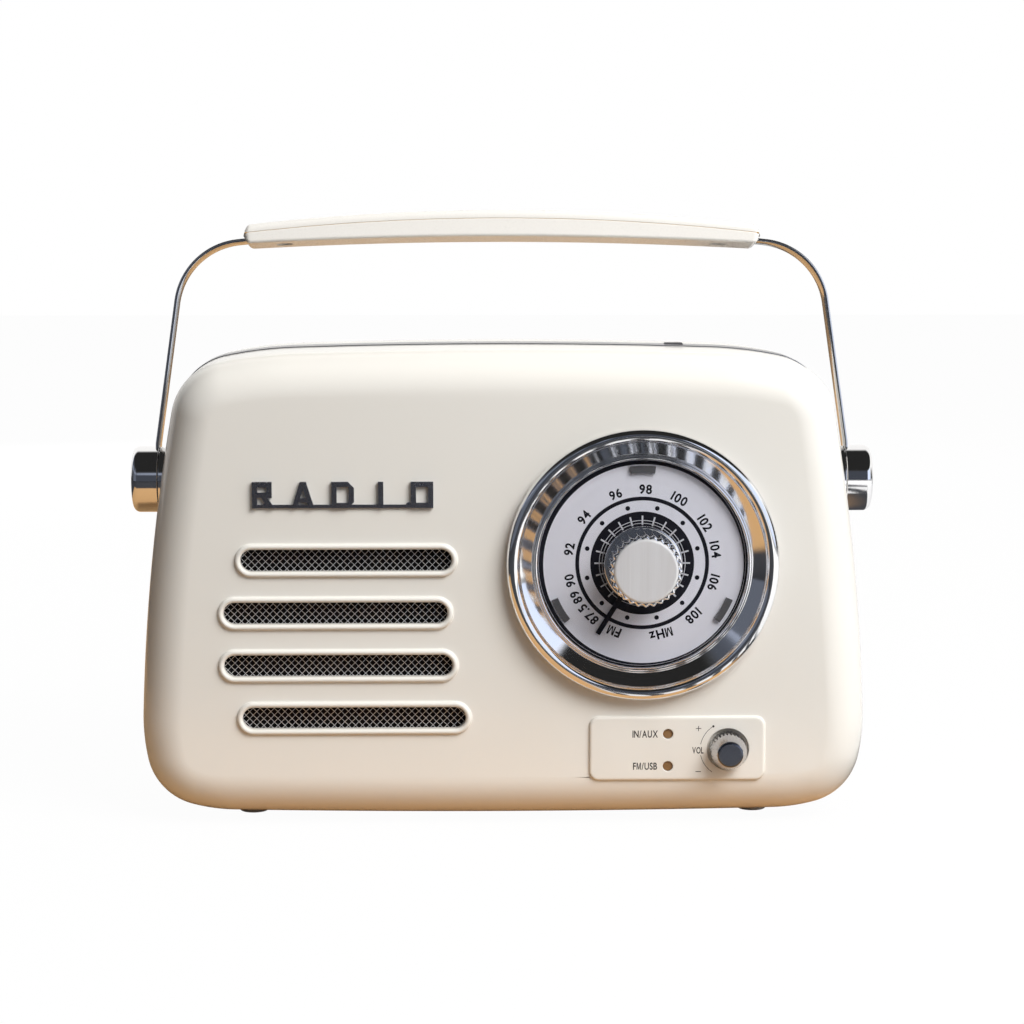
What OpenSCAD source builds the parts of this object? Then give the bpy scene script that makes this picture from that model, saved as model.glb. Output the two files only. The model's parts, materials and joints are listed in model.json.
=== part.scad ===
// Retro tabletop radio: moulded two-part cabinet with a swinging strap handle,
// round tuning dial, slotted speaker front, battery bay and telescopic aerial.
//
// Millimetres, +Z up. The front looks towards -Y. The origin is on the floor,
// in the middle of the whole object's box. Modules are drawn with y = 0 at the
// cabinet's front face and y growing towards the back; place() moves them home.

/* [Cabinet] */
// Height of the cabinet's highest point above the floor
cabinet_top = 176.8; // [170:0.2:184]
// Depth of the cabinet from front face to back face
cabinet_d = 92; // [90:1:96]
// Wall thickness of both shells
wall = 2.5; // [2:0.1:3]
// Radius of the rounded front edge
front_round = 16; // [12:0.5:17]
// Radius of the rounded back edge
rear_round = 14; // [10:0.5:15]
// Width of the metal band between the shells
band_w = 12; // [9:0.5:14]
// How far the metal band stands proud of the shells
band_proud = 0.4; // [0.2:0.1:0.8]

/* [Speaker] */
// Speaker centre, left of the middle
speaker_x = -59; // [-62:1:-56]
// Speaker centre above the floor
speaker_z = 71; // [68:1:74]
// Outer radius of the speaker's flange
speaker_r = 50; // [46:1:50]
// Half height of one sound slot
slot_r = 4; // [3:0.1:4.4]
// Vertical distance between sound slots
slot_pitch = 19.55; // [17:0.05:20]

/* [Dial] */
// Dial centre, right of the middle
dial_x = 50.6; // [48:0.1:53]
// Dial centre above the floor
dial_z = 98.8; // [96:0.1:101]
// Outer radius of the chrome bezel
bezel_r = 50; // [48:0.5:51]
// Radius of the dial plate
plate_r = 38.2; // [37:0.1:38.3]
// How far the tuning knob stands out of the front face
knob_reach = 20; // [18:0.5:24]
// Angle of the pointer from twelve o'clock at the end of the scale
pointer_rest = -148; // [-150:1:-140]

/* [Controls] */
// Volume knob centre, right of the middle
volume_x = 82.5; // [80:0.5:84]
// Volume knob centre above the floor
volume_z = 29.6; // [28:0.2:31]
// How far the volume knob stands out of the front face
volume_reach = 11.2; // [9:0.2:14]

/* [Handle] */
// Height of the handle pivots above the floor
pivot_z = 125.4; // [123:0.2:127]
// Outer radius of the pivot caps
cap_r = 12.5; // [12.5:0.1:13]
// Distance of the pivot caps' outer faces from the middle
cap_x = 141; // [140:0.5:143]
// Angle at which the handle leans back at rest
handle_lean = 8; // [0:1:15]
// Length of the grip
grip_l = 196; // [180:2:198]
// Depth of the grip
grip_d = 20; // [16:1:22]
// Width of the metal handle straps
strap_w = 10; // [8:0.5:11]

/* [Aerial] */
// Length of the folded aerial
aerial_l = 172; // [150:1:176]
// Height of the folded aerial above the floor
aerial_z = 156; // [152:1:158]

/* [Hidden] */

$fn = 64;
eps = 0.01;
run_gap = 0.05;    // radial clearance of a shaft that turns in its bore
slip_gap = 0.03;   // radial clearance of pieces pushed together
air = 0.4;         // ordinary gap between pieces that move past each other

// depths along y, measured from the front face
aerial_axis_y = cabinet_d + 5;
rear_reach = 10;
face_y = knob_reach - (knob_reach + cabinet_d + rear_reach) / 2;
seam_y = (cabinet_d - band_w) / 2;
band_end_y = seam_y + band_w;
pivot_y = cabinet_d / 2;
inner_back_y = cabinet_d - wall;

// ---------------------------------------------------------------- outline
// The cabinet's front view is a chain of arcs from top centre round to bottom
// centre. Each entry is [direction of the outward normal where it ends, radius].
ARCS = [[1.8, 2500], [11.8, 150], [79.6, 23.1], [88, 774], [102, 72], [164.8, 23], [178.8, 67]];
arc_count = len(ARCS);
function arc_from(i) = i == 0 ? 0 : ARCS[i - 1][0];
// sideways travel of the first n arcs, which the last, bottom arc has to bring back
function arc_run(n) = n == 0 ? 0
    : arc_run(n - 1) + ARCS[n - 1][1] * (sin(ARCS[n - 1][0]) - sin(arc_from(n - 1)));
function arc_drop(n) = n == 0 ? 0
    : arc_drop(n - 1) + ARCS[n - 1][1] * (cos(ARCS[n - 1][0]) - cos(arc_from(n - 1)));
bottom_radius = arc_run(arc_count) / sin(arc_from(arc_count));
function arc_start(i) = [arc_run(i), cabinet_top + arc_drop(i)];
function arc_radius(i) = i == arc_count ? bottom_radius : ARCS[i][1];
// which arc holds a normal direction
function arc_at(a, i = 0) = i == arc_count ? i : a <= ARCS[i][0] ? i : arc_at(a, i + 1);
function on_arc(i, a) = arc_start(i)
    + arc_radius(i) * [sin(a) - sin(arc_from(i)), cos(a) - cos(arc_from(i))];
function outline_point(a, inset) = on_arc(arc_at(a), a) - inset * [sin(a), cos(a)];

// normal directions of the outline's corners: close together on the corners
HALF_TURN = [
    0, 0.9, 1.8, 4, 6.5, 9, 11.8, 17, 23, 29, 35, 41, 47, 53, 59, 65, 71, 76, 79.6, 81.5, 83.5, 85.5,
    88, 91, 95, 99, 102, 108, 114, 120, 126, 132, 138, 144, 150, 156, 161, 164.8, 169, 173, 176.5,
    178.8, 179.4, 180
];
half_count = len(HALF_TURN);
// the whole way round, counter-clockwise seen from the front, without the top and bottom doubled
function outline(inset) = concat(
    [for (i = [half_count - 1 : -1 : 0]) outline_point(HALF_TURN[i], inset)],
    [for (i = [1 : half_count - 2])
        let (p = outline_point(HALF_TURN[i], inset)) [-p[0], p[1]]]
);

// A closed solid through rings of the outline. rings = [[y, inset], ...], y growing.
module outline_loft(rings) {
    n = 2 * half_count - 2;
    m = len(rings);
    points = [for (r = rings) for (p = outline(r[1])) [p[0], r[0], p[1]]];
    sides = [for (j = [0 : m - 2]) for (i = [0 : n - 1])
        let (a = j * n + i, b = j * n + (i + 1) % n)
        each [[a, b, b + n], [a, b + n, a + n]]];
    front = [[for (i = [n - 1 : -1 : 0]) i]];
    back = [[for (i = [0 : n - 1]) (m - 1) * n + i]];
    polyhedron(points, concat(sides, front, back), convexity = 6);
}

// quarter-round steps: [depth from the flat face, inset] for a radius r
ROUND_STEPS = [0, 12, 24, 36, 48, 60, 75, 90];
function round_rings(r) = [for (a = ROUND_STEPS) [r * (1 - sin(90 - a)), r * (1 - cos(90 - a))]];

// ---------------------------------------------------------------- helpers
module place() translate([0, face_y, 0]) children();

// a flat shape in x and z, given a thickness from y0 to y1
module slab(y0, y1) translate([0, y1, 0]) rotate([90, 0, 0]) linear_extrude(y1 - y0) children();

// a solid cylinder along y, and one along x
module rod_y(r, y0, y1, x = 0, z = 0) slab(y0, y1) translate([x, z]) circle(r);
module rod_x(r, x0, x1, y = 0, z = 0) translate([x0, y, z]) rotate([0, 90, 0]) cylinder(r = r, h = x1 - x0);
module cone_y(r0, r1, y0, y1) translate([0, y0, 0]) rotate([-90, 0, 0]) cylinder(r1 = r0, r2 = r1, h = y1 - y0);

// a profile of [radius, y] turned about the y axis through x, z
module turned(x, z, profile)
    translate([x, 0, z]) rotate([-90, 0, 0]) rotate_extrude() polygon(profile);

module stadium(x0, x1, z, r) {
    translate([x0 + r, z - r]) square([x1 - x0 - 2 * r, 2 * r]);
    for (x = [x0 + r, x1 - r]) translate([x, z]) circle(r);
}

module rounded_rect(x0, x1, z0, z1, r) {
    translate([x0 + r, z0]) square([x1 - x0 - 2 * r, z1 - z0]);
    translate([x0, z0 + r]) square([x1 - x0, z1 - z0 - 2 * r]);
    for (x = [x0 + r, x1 - r]) for (z = [z0 + r, z1 - r]) translate([x, z]) circle(r);
}

module box(x, y, z) translate([x[0], y[0], z[0]]) cube([x[1] - x[0], y[1] - y[0], z[1] - z[0]]);

module both_sides() {
    children();
    mirror([1, 0, 0]) children();
}

// a pan-head screw along +y, head towards the front
module screw_y(x, z, head_y, shank_r, head_r, head_h, length) {
    rod_y(head_r, head_y, head_y + head_h, x, z);
    rod_y(shank_r, head_y + head_h - eps, head_y + head_h + length, x, z);
}

// ---------------------------------------------------------------- cabinet
CASE_SCREWS = [[-110, 144], [110, 144], [-117, 26], [117, 26], [0, 163]];
case_post_r = 4;
FOOT_X = [-95, 95];
front_foot_y = 31;
rear_foot_y = 72;
foot_h = 3.4;

slots = [[-96.6, -19.4], [-103, -21], [-103, -19.2], [-96.4, -14.4]];   // from the top slot down
top_slot_z = speaker_z + 1.5 * slot_pitch;
rim_w = 2.2;
rim_h = 1.4;
seam_swell = 0.3;         // the shells are this much fuller at the band

panel = [[31.3, 96.2], [18, 41.9]];
panel_h = 1.2;
panel_corner = 3.5;
recess_r = 7.7;
led_x = 60.3;
LED_Z = [35.4, 23.3];
led_r = 1.75;
badge_x = [-92, -26];
badge_z = 124.6;
badge_pin_z = badge_z - 3.8;
BADGE_PINS = [-87, -35];
dial_hole_r = 41.4;
speaker_post_y = 9;
speaker_hole = 38.2;      // sideways and upward distance of the speaker's screws from its centre
SPEAKER_SCREWS = [for (sx = [-1, 1]) for (sz = [-1, 1])
    [speaker_x + sx * speaker_hole, speaker_z + sz * speaker_hole]];
boss_r = 12.3;

module front_shell() {
    outer = concat(round_rings(front_round), [[seam_y, -seam_swell]]);
    inner = concat(
        [for (r = round_rings(front_round - wall)) [wall + r[0], wall + r[1]]],
        [[seam_y + 1, wall - seam_swell]]);
    color("antiquewhite") place() difference() {
        union() {
            difference() {
                outline_loft(outer);
                outline_loft(inner);
            }
            for (i = [0 : 3])
                slab(-rim_h, eps)
                    stadium(slots[i][0] - rim_w, slots[i][1] + rim_w, top_slot_z - i * slot_pitch, slot_r + rim_w);
            slab(-panel_h, eps) rounded_rect(panel[0][0], panel[0][1], panel[1][0], panel[1][1], panel_corner);
            for (p = CASE_SCREWS) rod_y(case_post_r, wall - eps, seam_y, p[0], p[1]);
            for (p = SPEAKER_SCREWS) rod_y(3.4, wall - eps, speaker_post_y, p[0], p[1]);
            for (p = BOARD_POSTS) rod_y(2.6, wall - eps, board_y, p[0], p[1]);
        }
        for (i = [0 : 3])
            slab(-5, wall + 1) stadium(slots[i][0], slots[i][1], top_slot_z - i * slot_pitch, slot_r);
        rod_y(dial_hole_r, -1, wall + 1, dial_x, dial_z);
        rod_y(recess_r, -5, 0.8, volume_x, volume_z);
        rod_y(4.1, 0, wall + 1, volume_x, volume_z);
        for (z = LED_Z) rod_y(led_r + 0.1, -5, wall + 1, led_x, z);
        for (x = BADGE_PINS) rod_y(1.03, -1, wall + 1, x, badge_pin_z);
        for (p = CASE_SCREWS) rod_y(1.3, 12, seam_y + 1, p[0], p[1]);
        for (p = SPEAKER_SCREWS) rod_y(1.25, wall, speaker_post_y + 1, p[0], p[1]);
        for (p = BOARD_POSTS) rod_y(1.1, wall + 1, board_y + 1, p[0], p[1]);
        both_sides() rod_x(boss_r + 0.15, 105, 145, pivot_y, pivot_z);
        for (x = FOOT_X) translate([x, front_foot_y, -1]) cylinder(r = 2.6, h = 12);
    }
}

module trim_band() {
    lip = 3;
    color("silver") place() difference() {
        union() {
            slab(seam_y, band_end_y) polygon(outline(-seam_swell - band_proud));
            slab(seam_y - lip, band_end_y + lip) polygon(outline(wall + 0.1));
        }
        slab(seam_y - lip - 1, band_end_y + lip + 1) polygon(outline(wall + 1.9));
        for (p = CASE_SCREWS) rod_y(case_post_r + 0.2, 0, cabinet_d, p[0], p[1]);
        both_sides() rod_x(boss_r + 0.15, 105, 145, pivot_y, pivot_z);
        slab(button_y[0] - air / 2, button_y[1] + air / 2)
            rounded_rect(button_x[0] - air / 2, button_x[1] + air / 2, 160, 190, 0.5);
    }
}

module rear_shell() {
    outer = concat([[band_end_y, -seam_swell]],
        [for (i = [len(ROUND_STEPS) - 1 : -1 : 0])
            let (r = round_rings(rear_round)[i]) [cabinet_d - r[0], r[1]]]);
    inner = concat([[band_end_y - 1, wall - seam_swell]],
        [for (i = [len(ROUND_STEPS) - 1 : -1 : 0])
            let (r = round_rings(rear_round - wall)[i]) [inner_back_y - r[0], wall + r[1]]]);
    color("antiquewhite") place() difference() {
        union() {
            difference() {
                outline_loft(outer);
                outline_loft(inner);
            }
            for (p = CASE_SCREWS) rod_y(case_post_r, band_end_y, inner_back_y + eps, p[0], p[1]);
            for (p = MAIN_POSTS) rod_y(3, main_board_y[1], inner_back_y + eps, p[0], p[1]);
            both_sides() box([door_x + air, door_x + 5.4], [inner_back_y - 3, inner_back_y + eps],
                [hinge_z - 3, hinge_z + 3]);
        }
        for (x = REST_X) rod_y(1.5, inner_back_y - 1, cabinet_d + 1, x, aerial_z);
        for (p = CASE_SCREWS) {
            rod_y(1.7, band_end_y - 1, cabinet_d + 1, p[0], p[1]);
            rod_y(3.3, band_end_y + 5.4, cabinet_d + 1, p[0], p[1]);
        }
        for (p = MAIN_POSTS) rod_y(1.1, main_board_y[1] - 1, inner_back_y, p[0], p[1]);
        rod_y(4.1, inner_back_y - 1, cabinet_d + 1, aux_x, socket_z);
        rod_y(5.6, inner_back_y - 1, cabinet_d + 1, power_x, socket_z);
        box([usb_x - 7.7, usb_x + 7.7], [inner_back_y - 1, cabinet_d + 1], [socket_z - 4.2, socket_z + 4.2]);
        box([-door_x - air, door_x + air], [inner_back_y - 4, cabinet_d + 1], [door_z[0] - air, door_z[1] + air]);
        both_sides() rod_x(1.25, door_x - 2, door_x + 3.4, hinge_y, hinge_z);
        rod_y(socket_r + slip_gap, inner_back_y - 1, cabinet_d + 1, aerial_x, aerial_z);
        for (row = [0 : 5]) slab(inner_back_y - 1, cabinet_d + 1)
            stadium(vent_x[0], vent_x[1], vent_z + row * 6, 1.2);
        both_sides() rod_x(boss_r + 0.15, 105, 145, pivot_y, pivot_z);
        for (x = FOOT_X) translate([x, rear_foot_y, -1]) cylinder(r = 2.6, h = 12);
    }
}

// the two open ledges the folded aerial lies on, each with a peg in the back wall
module aerial_rests() {
    floor_z = aerial_z - aerial_r - 0.3;
    color("dimgray") place() for (x = REST_X) {
        box([x - 3, x + 3], [cabinet_d, cabinet_d + rear_reach], [floor_z - 1.7, floor_z]);
        box([x - 3, x + 3], [cabinet_d, cabinet_d + 1.6], [floor_z - 1.7, aerial_z + 2]);
        rod_y(1.47, inner_back_y - 0.5, cabinet_d + eps, x, aerial_z);
    }
}

module rubber_feet() {
    color("dimgray") place()
    for (x = FOOT_X) for (y = [front_foot_y, rear_foot_y]) translate([x, y, 0]) {
        cylinder(r1 = 5.4, r2 = 6, h = foot_h);
        cylinder(r = 2.55, h = 8);
    }
}

module case_screws() {
    color("silver") place()
    for (p = CASE_SCREWS) {
        rod_y(3, band_end_y + 5.4, band_end_y + 8, p[0], p[1]);
        rod_y(1.28, 22, band_end_y + 6, p[0], p[1]);
    }
}

// ---------------------------------------------------------------- speaker
mesh_y = [wall, wall + 0.7];
cloth_y = [mesh_y[1], mesh_y[1] + 0.5];
flange_y = [speaker_post_y, speaker_post_y + 1.8];

module speaker_panel(y) {
    slab(y[0], y[1]) difference() {
        rounded_rect(speaker_x - 49, speaker_x + 49, speaker_z - 37.4, speaker_z + 37.4, 4);
        for (p = SPEAKER_SCREWS) translate(p) circle(3.8);
    }
}

module speaker_mesh() color("gray") place() speaker_panel(mesh_y);
module speaker_cloth() color("black") place() speaker_panel(cloth_y);

module speaker_gasket() {
    color("dimgray") place() slab(cloth_y[1], flange_y[0]) translate([speaker_x, speaker_z]) difference() {
        circle(speaker_r);
        circle(speaker_r - 5);
    }
}

module speaker_basket() {
    color("dimgray") place() difference() {
        union() {
            slab(flange_y[0], flange_y[1]) difference() {
                union() {
                    translate([speaker_x, speaker_z]) circle(speaker_r);
                    for (p = SPEAKER_SCREWS) translate(p) circle(4);
                    translate([speaker_x, speaker_z]) for (a = [45 : 90 : 315]) rotate(a)
                        translate([speaker_r - 4, -4]) square([8, 8]);
                }
                translate([speaker_x, speaker_z]) circle(speaker_r - 5);
                for (p = SPEAKER_SCREWS) translate(p) circle(1.6);
            }
            translate([speaker_x, 0, speaker_z]) difference() {
                cone_y(speaker_r - 3.5, 25, flange_y[1] - eps, 31);
                cone_y(speaker_r - 5, 23.5, flange_y[1] - 2 * eps, 31 + eps);
                for (a = [0 : 60 : 300]) rotate([0, a, 0]) box([30, 60], [14, 28], [-12, 12]);
            }
            turned(speaker_x, speaker_z, [[13, 31 - eps], [25, 31 - eps], [25, 33], [13, 33]]);
        }
    }
}

module speaker_surround() {
    color("black") place() translate([speaker_x, 0, speaker_z]) rotate([-90, 0, 0]) rotate_extrude()
        translate([41.4, flange_y[0]]) difference() {
            circle(3.5);
            circle(2.8);
            translate([-5, 0]) square([10, 5]);
        }
}

module speaker_cone() {
    color("darkslategray") place()
    turned(speaker_x, speaker_z, [
        [0, 20], [8, 21.4], [12, 24], [37.7, flange_y[0] - 0.4], [37.9, flange_y[0] + 0.6],
        [12.2, 26], [12.2, 37], [11.6, 37], [11.6, 25], [7.6, 22.4], [0, 21]]);
}

module speaker_magnet() {
    color("gray") place()
    turned(speaker_x, speaker_z, [
        [0, 28], [11, 28], [11, 39], [13, 39], [13, 33], [24, 33], [24, 45], [0, 45]]);
}

module speaker_screws() {
    color("silver") place()
    for (p = SPEAKER_SCREWS) {
        rod_y(3, flange_y[1], flange_y[1] + 2, p[0], p[1]);
        rod_y(1.22, 4, flange_y[1] + eps, p[0], p[1]);
    }
}

// ---------------------------------------------------------------- dial
module front_badge() {
    stroke = 1.9;
    h = 9.6;
    step = (badge_x[1] - badge_x[0] - 8.2) / 4;
    color("slategray") place() {
        slab(-1.6, 0) for (k = [0 : 4]) translate([badge_x[0] + k * step, badge_z - h / 2]) badge_letter(k, h, stroke);
        slab(-1, 0) translate([badge_x[0], badge_z - h / 2]) square([badge_x[1] - badge_x[0], 1.2]);
        for (x = BADGE_PINS) rod_y(1, -0.9, wall + 0.5, x, badge_pin_z);
    }
}

// plain block capitals R, A, D, I, O from straight strokes
module badge_letter(k, h, t) {
    w = 8.2;
    if (k != 3 && k != 1) square([t, h]);
    if (k == 0) {
        translate([0, h - t]) square([w - 1, t]);
        translate([0, h / 2 - t / 2]) square([w - 1, t]);
        translate([w - 1 - t, h / 2]) square([t, h / 2]);
        polygon([[w / 2 - 1.4, h / 2], [w / 2 + 0.9, h / 2], [w, 0], [w - 2.3, 0]]);
    }
    if (k == 1) {
        polygon([[0, 0], [w / 2 - 1.1, h], [w / 2 + 1.1, h], [w, 0], [w - 2, 0], [w / 2, h * 0.72], [2, 0]]);
        translate([1.6, h * 0.22]) square([w - 3.2, t * 0.8]);
    }
    if (k == 2) {
        translate([0, h - t]) square([w - 2, t]);
        square([w - 2, t]);
        polygon([[w - 2.2, 0], [w, 2.2], [w, h - 2.2], [w - 2.2, h], [w - 2.2, h - t], [w - t, h - 2.8],
            [w - t, 2.8], [w - 2.2, t]]);
    }
    if (k == 3) translate([w / 2 - t / 2 - 0.6, 0]) square([t, h]);
    if (k == 4) {
        translate([w - t, 0]) square([t, h]);
        square([w, t]);
        translate([0, h - t]) square([w, t]);
    }
}

module dial_bezel() {
    tube = 2.7;
    rim_centre = bezel_r - tube;
    arc = [for (a = [0 : 15 : 195]) [rim_centre + tube * cos(a), -3.4 - tube * sin(a)]];
    color("silver") place() turned(dial_x, dial_z, concat(
        [[dial_hole_r - 0.1, 0], [bezel_r, 0]], arc,
        [[40.6, -1.6], [40.2, -2.3], [39.4, -2.5], [38.8, -2.2], [38.6, -1.6], [38.6, wall], [dial_hole_r - 0.1, wall]]));
}

lens_y = [-1.1, 0.4];
plate_y = [2, 3];
pointer_y = [0.8, 1.5];
shaft_r = 3;

module dial_lens() {
    color("lightcyan", 0.4) place() {
        difference() {
            rod_y(plate_r, lens_y[0], lens_y[1], dial_x, dial_z);
            rod_y(4.5, lens_y[0] - 1, lens_y[1] + 1, dial_x, dial_z);
        }
        for (a = [0, 120, 240]) translate([dial_x, 0, dial_z]) rotate([0, a, 0])
            box([-4.8, 4.8], [lens_y[1] - eps, plate_y[0]], [33, 35.6]);
    }
}

module dial_plate() {
    color("lavender") place() difference() {
        rod_y(plate_r, plate_y[0], plate_y[1], dial_x, dial_z);
        rod_y(4.5, plate_y[0] - 1, plate_y[1] + 1, dial_x, dial_z);
    }
}

module dial_housing() {
    color("dimgray") place() turned(dial_x, dial_z, [
        [dial_hole_r, wall], [46, wall], [46, 5], [36, 5], [36, 12], [5.2, 12], [5.2, 10.4], [34, 10.4],
        [34, plate_y[1]], [dial_hole_r, plate_y[1]]]);
}

module tuning_control() {
    color("darkolivegreen") place() difference() {
        union() {
            rod_y(5.1, 6, 12.5, dial_x, dial_z);
            slab(12, 22) translate([dial_x - 12, dial_z - 12]) square(24);
            slab(8.2, 10.4) translate([dial_x, dial_z]) circle(8, $fn = 6);
        }
        rod_y(shaft_r + run_gap, 5, 21, dial_x, dial_z);
    }
}

module tuning_shaft() color("silver") place() rod_y(shaft_r, -17, 20.6, dial_x, dial_z);

module dial_pointer() {
    color("black") place() translate([dial_x, 0, dial_z]) rotate([0, pointer_rest, 0])
    slab(pointer_y[0], pointer_y[1]) difference() {
        union() {
            circle(6);
            translate([-0.9, 3]) square([1.8, 27.8]);
        }
        circle(shaft_r + slip_gap);
    }
}

flutes = 28;
skirt_y = [-3.6, -1.6];
module tuning_knob() {
    front_y = -knob_reach + 0.8;
    color("silver") place() translate([dial_x, 0, dial_z]) difference() {
        union() {
            rod_y(14.3, skirt_y[0], skirt_y[1]);
            slab(front_y, skirt_y[0] + eps) polygon([for (i = [0 : 4 * flutes - 1])
                let (a = i * 90 / flutes, r = 12.85 + 0.45 * cos(flutes * a)) r * [cos(a), sin(a)]]);
        }
        rod_y(shaft_r + slip_gap, -17, 0);
    }
}

module tuning_knob_cap() {
    color("gainsboro") place()
    turned(dial_x, dial_z, [[0, -knob_reach], [10.9, -knob_reach], [11.6, -knob_reach + 0.5],
        [11.6, -knob_reach + 0.8], [0, -knob_reach + 0.8]]);
}

// ---------------------------------------------------------------- volume control and lamps
board_y = 15;
board_t = 1.6;
BOARD_POSTS = [[38, 22], [38, 41], [99, 22], [99, 43]];

module volume_control() {
    color("darkolivegreen") place() difference() {
        union() {
            rod_y(4, 1.2, 8.5, volume_x, volume_z);
            slab(8, board_y) translate([volume_x - 8.5, volume_z - 8.5]) square(17);
        }
        rod_y(shaft_r + run_gap, 0, 14.4, volume_x, volume_z);
    }
}

module volume_shaft() color("silver") place() rod_y(shaft_r, -volume_reach + 2.4, 14, volume_x, volume_z);

module volume_knob() {
    front_y = -volume_reach + 0.6;
    grooves = 30;
    color("silver") place() translate([volume_x, 0, volume_z]) difference() {
        union() {
            cone_y(6.6, 6.9, -6.6, -0.2);
            cone_y(4.7, 6.6, front_y, -6.6 + eps);
        }
        for (i = [0 : grooves - 1]) rotate([0, i * 360 / grooves, 0]) rod_y(0.3, -6.8, 0, 6.9, 0);
        rod_y(shaft_r + slip_gap, -volume_reach + 2.4, 1);
    }
}

module volume_knob_cap() {
    color("dimgray") place()
    turned(volume_x, volume_z, [[0, -volume_reach], [4.1, -volume_reach], [4.7, -volume_reach + 0.4],
        [4.7, -volume_reach + 0.6], [0, -volume_reach + 0.6]]);
}

module lamp(z) {
    color("peru") place() {
        rod_y(led_r, -0.6, 6.01, led_x, z);
        rod_y(2.3, 6, board_y, led_x, z);
    }
}

module led_aux() lamp(LED_Z[0]);
module led_radio() lamp(LED_Z[1]);

module control_board() {
    color("seagreen") place() slab(board_y, board_y + board_t) difference() {
        translate([33, 16]) square([71, 32]);
        for (p = BOARD_POSTS) translate(p) circle(1.5);
    }
}

module board_screws() {
    color("silver") place() {
        for (p = BOARD_POSTS) {
            rod_y(2.4, board_y + board_t, board_y + board_t + 1.6, p[0], p[1]);
            rod_y(1.08, 6, board_y + board_t + eps, p[0], p[1]);
        }
        for (p = MAIN_POSTS) {
            rod_y(2.4, main_board_y[0] - 1.6, main_board_y[0], p[0], p[1]);
            rod_y(1.08, main_board_y[0] - eps, main_board_y[0] + 9, p[0], p[1]);
        }
    }
}

// ---------------------------------------------------------------- main board and sockets
main_board_y = [77, 78.6];
MAIN_POSTS = [[-66, 90], [66, 90], [-66, 138], [66, 138]];
socket_z = 100;
aux_x = -24;
usb_x = -48;
power_x = 2;
vent_x = [30, 78];
vent_z = 92;
REST_X = [-20, 55];

module main_board() {
    color("seagreen") place() {
        slab(main_board_y[0], main_board_y[1]) difference() {
            translate([-72, 84]) square([144, 60]);
            for (p = MAIN_POSTS) translate(p) circle(1.5);
        }
        // screened tuner, amplifier with its heat sink, and reservoir capacitors
        box([34, 58], [main_board_y[0] - 9, main_board_y[0] + eps], [112, 134]);
        box([-58, -34], [main_board_y[0] - 14, main_board_y[0] + eps], [118, 130]);
        for (x = [-20, -6, 8]) rod_y(5, main_board_y[0] - 13, main_board_y[0] + eps, x, 128);
    }
}

module aux_jack() {
    color("dimgray") place() difference() {
        union() {
            slab(main_board_y[1], inner_back_y) translate([aux_x - 6, socket_z - 5]) square([12, 10]);
            rod_y(4, inner_back_y - eps, cabinet_d - 0.3, aux_x, socket_z);
        }
        rod_y(1.8, main_board_y[1] + 1.4, cabinet_d + 1, aux_x, socket_z);
    }
}

module usb_socket() {
    color("silver") place() {
        difference() {
            box([usb_x - 7.4, usb_x + 7.4], [main_board_y[1], cabinet_d - 0.2], [socket_z - 3.9, socket_z + 3.9]);
            box([usb_x - 6.25, usb_x + 6.25], [main_board_y[1] + 1.5, cabinet_d + 1], [socket_z - 2.6, socket_z + 2.6]);
        }
        box([usb_x - 5.6, usb_x + 5.6], [main_board_y[1] + 1, cabinet_d - 3], [socket_z + 0.4, socket_z + 2.2]);
    }
}

module power_inlet() {
    color("dimgray") place() {
        difference() {
            union() {
                slab(main_board_y[1], inner_back_y) translate([power_x - 6, socket_z - 6]) square(12);
                rod_y(5.5, inner_back_y - eps, cabinet_d - 0.3, power_x, socket_z);
            }
            rod_y(2.85, main_board_y[1] + 2, cabinet_d + 1, power_x, socket_z);
        }
        rod_y(1.05, main_board_y[1] + 1, cabinet_d - 1.5, power_x, socket_z);
    }
}

// push button that steps through the inputs, let into the band on top
button_x = [61.5, 68.5];
button_y = [pivot_y - 2, pivot_y + 2];
button_top = cabinet_top - 0.88 + seam_swell + band_proud;
button_travel = 0.6;
switch_top = 167;

module mode_button() {
    color("dimgray") place() {
        slab(button_y[0], button_y[1]) rounded_rect(button_x[0], button_x[1], 172.8, button_top + 0.7, 0.5);
        slab(button_y[0] - 1.2, button_y[1] + 1.2)
            rounded_rect(button_x[0] - 1.2, button_x[1] + 1.2, 170, 171.1, 0.4);
        box([64, 66], [pivot_y - 1, pivot_y + 1], [switch_top + button_travel + 0.1, 173]);
    }
}

module mode_switch() {
    color("darkolivegreen") place() {
        box([61, 69], [pivot_y - 4, pivot_y + 4], [161, switch_top]);
        box([56, 74], [pivot_y - 8, pivot_y + 8], [159.4, 161 + eps]);
        // the little board's two legs, screwed under the band's inner lips
        for (x = [[56, 58], [72, 74]])
            box(x, [pivot_y - 8, pivot_y - 6.2], [161, cabinet_top - wall - 2.1 - x[1] * x[1] / 5000]);
    }
}

// ---------------------------------------------------------------- battery bay
door_x = 56;
door_z = [20, 78];
hinge_y = cabinet_d - 1.6;
hinge_z = door_z[0] + 1.6;
bay_x = 52;
bay_z = [22.6, 75.8];
bay_y = [62, 87.5];

module battery_box() {
    t = 1.6;
    color("dimgray") place() difference() {
        union() {
            box([-bay_x - t, bay_x + t], [bay_y[0] - t, inner_back_y], [bay_z[0] - t, bay_z[1] + t]);
            box([-door_x + 0.4, door_x - 0.4], [bay_y[1], inner_back_y], [16.5, 82]);
        }
        box([-bay_x, bay_x], [bay_y[0], inner_back_y + 1], bay_z);
        rod_x(2.1, -door_x - 1, door_x + 1, hinge_y, hinge_z);
        box([-door_x - 1, door_x + 1], [hinge_y - 2.1, inner_back_y + 1], [door_z[0] - air, hinge_z]);
    }
}

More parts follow.
